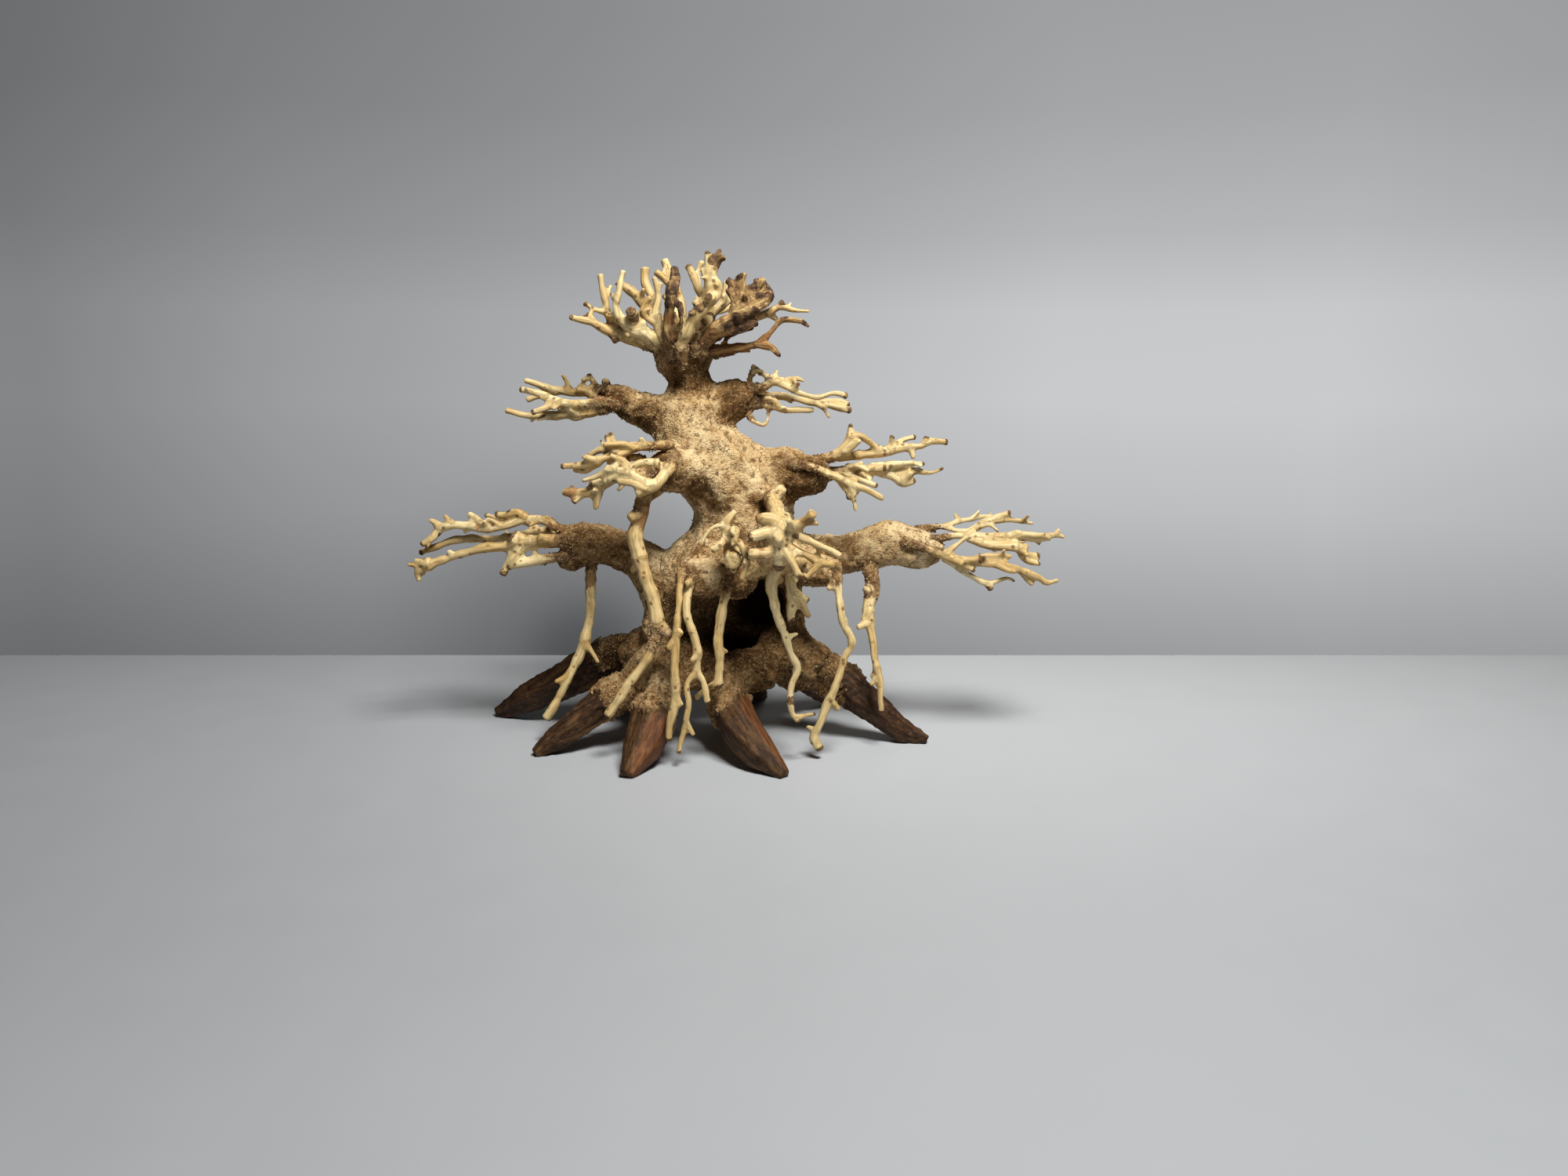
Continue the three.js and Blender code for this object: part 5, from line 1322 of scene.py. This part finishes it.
def patchAt(spot, patches, kind):
    # how far the spot is inside the nearest of some ragged patches
    edge = markLook["patch"]
    if not patches[kind]:
        return 0.0
    ragged = edge["ragged"] * noise.noise(spot * markLook["patchScales"][kind])
    return max(
        clamped((edge["full"] + ragged - (spot - middle).length / reach) * edge["fade"])
        for middle, reach in patches[kind]
    )


def beyondEdge(spot, amount, kind):
    # how far an amount is past an edge that noise makes ragged
    edge = markLook[kind]
    return (amount - edge["from"] + edge["ragged"] * noise.noise(spot * edge["scale"])) / edge["over"]


def marksAt(vertex, nearest, patches, span, look):
    # grain, bark, glue, dirt and painted shade in the crevices, painted shade on the undersides, and dust at
    # one vertex of a twig, and how far they lift it
    middle, travelled, toEnd, dark, ahead, tintAndShade = nearest
    spot = vertex.co
    off = spot - middle
    side = ahead.orthogonal().normalized()
    fibre = (
        (travelled + off.dot(ahead)) * look["fibreStretch"],
        off.dot(side) * look["fibreWidth"], off.dot(ahead.cross(side)) * look["fibreWidth"],
    )
    left = toEnd - off.dot(ahead)
    bark = max(dark * max(0.0, 1 - left / look["darkReach"]), patchAt(spot, patches, "bark"))
    # painted shade and dirt: darker where another stroke stands close in front of the surface, as in the
    # crotches of forks
    creviceDirtAndShade = creviceAt(vertex, middleOwners[middles.find(spot)[1]], look["creviceReach"])
    creviceDirtAndShade *= clamped((hubEnds.find(spot)[2] - markLook["hubClean"]) / markLook["hubFade"])
    near = clamped(2 - 2 * limbEnds.find(spot)[2] / look["nearStart"])
    coatSpot, _, _, gap = coatFinder.find_nearest(spot, look["stainReach"])
    glue = near * clamped(1 - gap / look["stainReach"]) if coatSpot else 0.0
    cover = near * clamped(1 - gap / look["coverReach"] / 2) if coatSpot else 0.0
    dusty = max(clamped(0.5 + beyondEdge(spot, cover, "cover")), clamped(beyondEdge(spot, glue, "glue")))
    dusty = max(dusty, patchAt(spot, patches, "crumb"))
    glue = max(markLook["glueTint"] * glue, patchAt(spot, patches, "stain"))
    if span:
        edge = markLook["span"]
        inside = min(span["top"] - spot.z, spot.z - span["bottom"]) / edge["over"]
        dusty = max(dusty, clamped(0.5 + inside + edge["ragged"] * noise.noise(spot * edge["scale"])))
    # painted shade: the yellow is made deeper on faces turned down, standing in for the shade under each
    # twig, on top of the stroke's own random tone
    underShade = clamped(-vertex.normal.z)
    tintAndShade = clamped(look["deepAndShade"] + tintAndShade + 0.5 * underShade + 0.5 * noise.noise(spot * markLook["tintScale"]))
    rough = noise.noise(spot * markLook["roughScale"])
    lift = (
        look["ridge"] * noise.noise(Vector(fibre) * markLook["ridgeScale"])
        + look["barkLift"] * bark * (0.5 + rough)
        + dusty * (markLook["dustLift"] + markLook["dustRough"] * rough)
    )
    return {
        "lift": lift, "fibre": fibre, "bark": bark, "glue": glue, "creviceDirtAndShade": creviceDirtAndShade, "tintAndShade": tintAndShade,
        "dusty": dusty,
    }


def growWood(name, strokes, look):
    # one closed mesh from all strokes, with the look of each point kept as attributes
    chance = random.Random(name + "_wood")
    lines, spurs = [], []
    for i, stroke in enumerate(strokes):
        samples, knots = grownStroke(stroke, chance, look, i == 0)
        lines.append(samples)
        spurs += spursOf(samples, knots, chance, look)
    piece, spots = tubesAlong(name + "_wood", lines, spurs, chance, look)
    weld(piece, look)
    addModifier(piece, "DECIMATE", ratio=look["keep"])
    bakeModifiers(piece)

    finder = treeOf([spot[0] for spot in spots])
    patches = {
        kind: [(placed(spot), spot[3] * drawn["metre"]) for spot in patches.get(name, [])]
        for kind, patches in woodPatches.items()
    }
    marks = [
        marksAt(vertex, spots[finder.find(vertex.co)[1]], patches, dustedSpans.get(name), look)
        for vertex in piece.data.vertices
    ]
    liftSurface(piece.data, [mark["lift"] for mark in marks])
    setAttribute(piece.data, "fibre", [mark["fibre"] for mark in marks], "FLOAT_VECTOR")
    for key in ("bark", "glue", "creviceDirtAndShade", "tintAndShade", "dusty"):
        setAttribute(piece.data, key, [mark[key] for mark in marks])
    smoothShade(piece.data)
    throwCrumbs(piece, crumbDensity["wood"], "dusty", len(name) + 5)
    return piece


allTwigs = {**crownTwigs, **upperTwigs, **middleTwigs, **lowerTwigs, **frontTwigs}
bareStarts = ["hooked_hanging_root", "short_hanging_root"]  # these hang from the front twigs, not from a limb
limbEnds = treeOf([
    placed(strokes[0][0]) for name, strokes in {**hangingRoots, **allTwigs}.items() if name not in bareStarts
])
hubEnds = treeOf([placed(hangingRoots[name][0][0]) for name in bareStarts])

# the middle of every stroke, with the stroke and its radius there
middleSpots, middleOwners, middleRadii = [], [], []
allStrokes = [
    stroke for name, strokes in {**allTwigs, **hangingRoots}.items()
    for stroke in strokes + extraShoots.get(name, [])
]
for label, stroke in enumerate(allStrokes):
    for spot, radius in samplesAlong(stroke, 0.0012):
        middleSpots.append(spot)
        middleOwners.append(label)
        middleRadii.append(radius)
middles = treeOf(middleSpots)

barkTwigs = {"crown_twig_dark", "crown_twig_right_dark", "crown_twig_low_right"}
for name, strokes in allTwigs.items():
    look, material, slot = (
        (barkLook, barkMaterial, "bark") if name in barkTwigs else (twigLook, peeledMaterial, "peeled")
    )
    twig = growWood(name, strokes + extraShoots.get(name, []), look)
    dress(twig, material, slot, name)
print("twigs are grown")

for name, strokes in hangingRoots.items():
    look = {**rootLook, "deepAndShade": rootShadeDepths.get(name, rootLook["deepAndShade"])}
    root = growWood(name, strokes + extraShoots.get(name, []), look)
    dress(root, peeledMaterial, "peeled", name)
print("hanging roots are grown")


# carved root spikes

spikeLook = {
    "voxel": 0.00072, "rings": 24, "ringsPast": 2, "cuts": 7, "cutAt": (0.25, 0.8), "cutTilt": (0.02, 0.16),
    "cutDepth": (0.92, 0.98), "cutNear": 0.012, "ridge": 0.0011, "fissure": 0.0006, "scab": 0.0005,
    "scabScale": 420,
    "fibreStretch": 60, "fibreWidth": 420, "coatThickness": 0.0014, "coatRough": 0.0008, "coatScale": 800,
}
# where each spike leaves the stump, its tip, how much coat runs on to it, where its bare wood faces,
# how bare and how dark it is
carving = {
    "far_left_spike": {
        "coated": 0.2, "ends": ((-44, 11, 34.5), (-113.5, 28, 1)), "bare": (0.3, -0.5, 0.8), "bareness": 0.15,
        "dark": 0.5,
    },
    "left_spike": {
        "coated": 0.34, "ends": ((-39, -11, 28), (-84, -31, 1)), "bare": (-0.2, -0.7, 0.6), "bareness": 0.12,
        "dark": 0.1,
    },
    "front_left_spike": {
        "coated": 0.36, "ends": ((-30.5, -23, 26), (-41, -59, 1)), "bare": (0.85, -0.5, -0.1),
        "bareness": 0.8, "dark": 0.05, "bark": 0.6,
    },
    "front_right_spike": {
        "coated": 0.24, "ends": ((-3.5, -21, 26), (22.5, -58.5, 1)), "bare": (0.95, 0.0, 0.35),
        "bareness": 1.0, "dark": 0.15, "bark": 0.45,
    },
    "right_spike": {
        "coated": 0.3, "ends": ((33, -1, 33), (85, -13, 1)), "bare": (0.3, -0.6, 0.6), "bareness": 0.25,
        "dark": 0.35,
    },
    "rear_right_spike": {
        "coated": 0.3, "ends": ((21, 23, 26), (54, 55, 1)), "bare": (0.4, 0.8, 0.4),
        "bareness": 0.5, "dark": 0.2,
    },
    "rear_spike": {
        "coated": 0.3, "ends": ((0, 28, 25), (12, 61, 1)), "bare": (-0.6, 0.6, 0.5),
        "bareness": 0.6, "dark": 0.2,
    },
    "rear_left_spike": {
        "coated": 0.3, "ends": ((-33, 23, 27), (-66, 56, 1)), "bare": (-0.6, 0.7, 0.3), "bareness": 0.3,
        "dark": 0.3,
    },
}


def sliceBy(mesh, place, facing, **settings):
    everything = mesh.verts[:] + mesh.edges[:] + mesh.faces[:]
    return bmesh.ops.bisect_plane(
        mesh, geom=everything, dist=1e-7, plane_co=place, plane_no=facing, **settings
    )


def whittle(mesh, start, tip, chance):
    # rings along the spike, then shallow knife cuts on it, each closed by a flat face
    axis = (tip - start).normalized()
    rings, past = spikeLook["rings"], spikeLook["ringsPast"]
    for k in range(-past, rings + past):
        sliceBy(mesh, start.lerp(tip, k / rings), axis)
    for _ in range(spikeLook["cuts"]):
        share = chance.uniform(*spikeLook["cutAt"])
        turn = Vector([chance.uniform(-1, 1) for _ in range(3)])
        away = (turn - axis * turn.dot(axis)).normalized()
        away.z = max(away.z, -0.15)
        tilted = (away.normalized() + axis * chance.uniform(*spikeLook["cutTilt"])).normalized()
        centre = start.lerp(tip, share)
        near = [v.co for v in mesh.verts if abs((v.co - centre).dot(axis)) < spikeLook["cutNear"]]
        if not near:
            continue
        outer = max((co - centre).dot(tilted) for co in near)
        if outer <= 0:
            continue
        depth = outer * chance.uniform(*spikeLook["cutDepth"])
        cut = sliceBy(mesh, centre + tilted * depth, tilted, clear_outer=True)
        rim = [e for e in cut["geom_cut"] if isinstance(e, bmesh.types.BMEdge) and e.is_boundary]
        bmesh.ops.holes_fill(mesh, edges=rim)


def carvedAt(vertex, start, tip, plan):
    # grain, bareness, dust and relief at one vertex of a spike, and how far they lift it
    spot = vertex.co
    off = spot - start
    axis = (tip - start).normalized()
    side = axis.orthogonal().normalized()
    share = off.dot(axis) / (tip - start).length
    fibre = Vector((
        off.dot(axis) * spikeLook["fibreStretch"], off.dot(side) * spikeLook["fibreWidth"],
        off.dot(axis.cross(side)) * spikeLook["fibreWidth"],
    ))
    facing = vertex.normal.dot(Vector(plan["bare"]).normalized())
    bare = plan["bareness"] * clamped(1.4 * facing - 0.25) * clamped(0.25 + 1.4 * share)
    cover = 1.0 - share / plan["coated"] + 0.45 * noise.noise(spot * 120) + 0.2 * noise.noise(spot * 600)
    dusty = clamped(0.5 + cover / 0.12)
    onGround = clamped(spot.z / 0.001)
    bark = plan.get("bark", 1.0) * (1 - 0.7 * clamped(3 * bare - 0.6))
    furrow = abs(noise.noise(fibre * 0.9 + Vector((7, 0, 0))))
    lumps = spikeLook["coatRough"] * noise.noise(spot * spikeLook["coatScale"])
    lift = onGround * (
        spikeLook["ridge"] * bark * (0.15 - abs(noise.noise(fibre * 0.45)))
        + spikeLook["fissure"] * bark * (furrow - 0.3)
        + spikeLook["scab"] * bark * noise.noise(spot * spikeLook["scabScale"])
        + dusty * (spikeLook["coatThickness"] + lumps)
    )
    return {
        "lift": lift, "fibre": fibre, "bare": bare, "relief": clamped(furrow * 2.2 + (1 - bark)),
        "dusty": dusty, "dark": plan["dark"],
    }


for name, plan in carving.items():
    start, tip = [placed(p) for p in plan["ends"]]
    spike = mergedCopy(name + "_wood", [name])
    carved = bmesh.new()
    carved.from_mesh(spike.data)
    whittle(carved, start, tip, random.Random(name))
    carved.to_mesh(spike.data)
    carved.free()
    addModifier(spike, "REMESH", mode="VOXEL", voxel_size=spikeLook["voxel"])
    addModifier(spike, "SMOOTH", factor=0.5, iterations=1)
    bakeModifiers(spike)
    marks = [carvedAt(vertex, start, tip, plan) for vertex in spike.data.vertices]
    liftSurface(spike.data, [mark["lift"] for mark in marks])
    setAttribute(spike.data, "fibre", [mark["fibre"] for mark in marks], "FLOAT_VECTOR")
    for key in ("bare", "relief", "dusty", "dark"):
        setAttribute(spike.data, key, [mark[key] for mark in marks])
    smoothShade(spike.data)
    throwCrumbs(spike, crumbDensity["spike"], "dusty", len(name) + 40)
    dress(spike, spikeMaterial, "hardwood", name)
print("spikes are carved")


# stump, trunk and limbs under their coat

coatLook = {
    "joining": 0.0012, "web": 0.0022, "smoothing": (6, 4), "voxel": 0.00072,
    "lumpSize": 0.024, "lump": 0.0040, "knobSize": 0.009, "knob": 0.0026,
    "grainSize": 0.0015, "grain": 0.0005, "crustSize": 0.0036, "crust": 0.0008, "sunk": 0.4,
    "glueReach": 0.007, "hollowReach": 0.005, "shelterReach": 0.045, "shelterOff": 0.0015,
    "grimeAndShade": 0.36, "below": 0.22, "crumbScale": 75,
}
shelterWays = [Vector(way).normalized() for way in itertools.product((-1, 0, 1), repeat=3) if any(way)]
# the stump's hollow and the trunk's knot hole, as strokes through them; the coat there is painted near black,
# partly dark wood and partly painted shade
hollowStrokes = [
    [[14, -8, 60, 9], [12, 0, 60, 11], [10, 8, 58, 11]],
    [[-12, 5, 36, 8], [12, 6, 36, 8]],
]
knotHole = {
    "ends": [[12.9, -24, 106.4, 0.8], [12.7, -25, 103.6, 1.5], [12.4, -25, 101.4, 0.9]],
    "reach": 0.0012, "depth": 0.0032, "inward": 0.15, "front": 0.012,
}
# where the coat is browner and darker, partly brown wood and partly painted shade under the limbs and round
# the hollow: [x, y, z, reach, how much]
brownAndShadeSpots = [
    [-18, -8, 158, 14, 1.1], [-20, -12, 168, 15, 1.0], [4, -6, 148, 13, 0.85], [-48, -6, 147, 12, 0.9],
    [-34, -8, 143, 12, 0.8], [-60, -8, 84, 28, 0.6], [-72, -6, 78, 12, 0.7], [34, -12, 113, 18, 1.35],
    [22, -14, 124, 8, 0.7], [-26, -28, 122, 11, 0.9], [-14, -14, 113, 12, 0.55], [12, -24, 106, 8, 0.6],
    [45, -6, 86, 11, 0.7], [88, -4, 82, 9, 0.5], [4, -36, 90, 18, 0.75], [-16, -36, 73, 12, 0.75],
    [3, -36, 69, 12, 1.0], [34, -24, 72, 12, 0.6], [-24, -14, 58, 20, 1.15], [-14, -12, 50, 16, 1.0],
    [34, -8, 52, 18, 0.9], [2, -26, 36, 14, 0.7], [-34, -30, 24, 10, 0.45], [1, -28, 24, 13, 0.8],
    [38, -4, 32, 16, 0.9], [-48, 13, 33, 18, 1.0], [-44, -14, 27, 12, 0.8], [5, -6, 49, 52, 0.95],
    [20, -16, 38, 16, 1.0], [-36, -2, 40, 16, 0.6], [-14, -14, 62, 16, 1.0], [26, -6, 60, 12, 0.9],
    [0, 30, 60, 24, 0.6], [0, 20, 120, 20, 0.5],
]
hollowSamples = [sample for stroke in hollowStrokes for sample in samplesAlong(stroke, 0.002)]
slitSamples = samplesAlong(knotHole["ends"], 0.0008)
brownerAndShadedSpots = [(placed(spot), spot[3] * drawn["metre"], spot[4]) for spot in brownAndShadeSpots]


def shelterAt(spot, normal):
    # the share of the open directions over the surface that wood close by closes off
    openWays, closed = 0.0, 0.0
    for way in shelterWays:
        facing = way.dot(normal)
        if facing > 0.15:
            hit = coatFinder.ray_cast(spot + normal * coatLook["shelterOff"], way, coatLook["shelterReach"])
            closed += facing if hit[0] else 0.0
            openWays += facing
    return closed / openWays


def inSlit(spot):
    # how far the spot is inside the knot hole, which goes into the wood from the front
    if spot.y >= slitSamples[0][0].y + knotHole["front"]:
        return 0.0
    inward = knotHole["inward"]
    into = min(
        Vector((spot.x - middle.x, inward * (spot.y - middle.y), spot.z - middle.z)).length - radius
        for middle, radius in slitSamples
    )
    return clamped(0.5 - into / knotHole["reach"] + 0.3 * noise.noise(spot * 400))


def coatAt(vertex):
    # glue, browner tones with painted shade in sheltered and downward faces, near-black hollows that are
    # partly painted shade, and crumbs at one vertex of the coat
    spot = vertex.co
    # browner spots, partly brown wood and partly painted shade
    worn = max(
        clamped(1.5 - 1.5 * (spot - middle).length / reach) * much for middle, reach, much in brownerAndShadedSpots
    )
    # painted shade and grime: browner where nearby wood closes off the open directions, and painted shade on
    # faces turned down
    sheltered = clamped((shelterAt(spot, vertex.normal) - 0.3) / 0.5)
    worn += coatLook["grimeAndShade"] * sheltered + coatLook["below"] * clamped(0.3 - vertex.normal.z)
    depth = min((spot - middle).length - radius for middle, radius in hollowSamples)
    slit = inSlit(spot)
    hollowDarkAndShade = max(clamped(0.5 - depth / coatLook["hollowReach"] + 0.3 * noise.noise(spot * 130)), slit)
    crumbly = clamped(0.35 + 0.8 * noise.noise(spot * coatLook["crumbScale"]))
    return {
        "lift": -knotHole["depth"] * slit, "hollowDarkAndShade": hollowDarkAndShade,
        "glue": max(0.0, 1 - limbEnds.find(spot)[2] / coatLook["glueReach"]),
        "brown": worn + 0.3 * noise.noise(spot * 60) + 0.2 * noise.noise(spot * 180),
        "crumbly": crumbly * (1 - hollowDarkAndShade) * clamped(spot.z / 0.002),
    }


def coatBody():
    # the coat of the whole body, and the solid that each of its vertices belongs to
    body = mergedCopy("coat", coatedNodes)
    weld(body, coatLook)
    swellBy(body, "lumps", "CLOUDS", coatLook["lumpSize"], coatLook["lump"], 0.5, noise_depth=2)
    swellBy(body, "knobs", "CLOUDS", coatLook["knobSize"], coatLook["knob"], 0.5, noise_depth=3)
    bakeModifiers(body)
    smoothBody = coordinates(body.data)
    owner = [coatOwners[coatFinder.find_nearest(v.co)[2]] for v in body.data.vertices]
    sunk = coatLook["sunk"]
    swellBy(body, "grain", "VORONOI", coatLook["grainSize"], -coatLook["grain"], sunk, weight_1=1.0)
    swellBy(
        body, "crust", "CLOUDS", coatLook["crustSize"], -coatLook["crust"], sunk,
        noise_depth=4, noise_type="HARD_NOISE",
    )
    bakeModifiers(body)
    raised = ((coordinates(body.data) - smoothBody) * normalsOf(body.data)).sum(axis=1)
    low, high = np.percentile(raised, (2, 98))
    setAttribute(body.data, "relief", np.clip((raised - low) / (high - low), 0, 1))
    marks = [coatAt(vertex) for vertex in body.data.vertices]
    liftSurface(body.data, [mark["lift"] for mark in marks])
    for key in ("glue", "brown", "hollowDarkAndShade", "crumbly"):
        setAttribute(body.data, key, np.clip([mark[key] for mark in marks], 0, 1))
    return body, owner


def splitCoat(body, owner):
    # one closed piece for each solid, its cut faces hidden inside the wood
    shared = [Counter(owner[i] for i in p.vertices).most_common(1)[0][0] for p in body.data.polygons]
    for k, node in enumerate(coatedNodes):
        part = bmesh.new()
        part.from_mesh(body.data)
        part.faces.ensure_lookup_table()
        away = [face for face, label in zip(part.faces, shared) if label != k]
        bmesh.ops.delete(part, geom=away, context="FACES")
        rim = [edge for edge in part.edges if edge.is_boundary]
        bmesh.ops.holes_fill(part, edges=rim)
        bmesh.ops.triangulate(part, faces=[face for face in part.faces if len(face.verts) > 4])
        mesh = bpy.data.meshes.new(node + "_coat")
        part.to_mesh(mesh)
        part.free()
        smoothShade(mesh)
        yield node, newPiece(node + "_coat", mesh)


body, owner = coatBody()
print("coat has", len(body.data.polygons), "faces")
for node, coat in splitCoat(body, owner):
    throwCrumbs(coat, crumbDensity["coat"], "crumbly", len(node) + 80)
    dress(coat, coatMaterial, "coat", node)
bpy.data.objects.remove(body)
print("coat is laid")
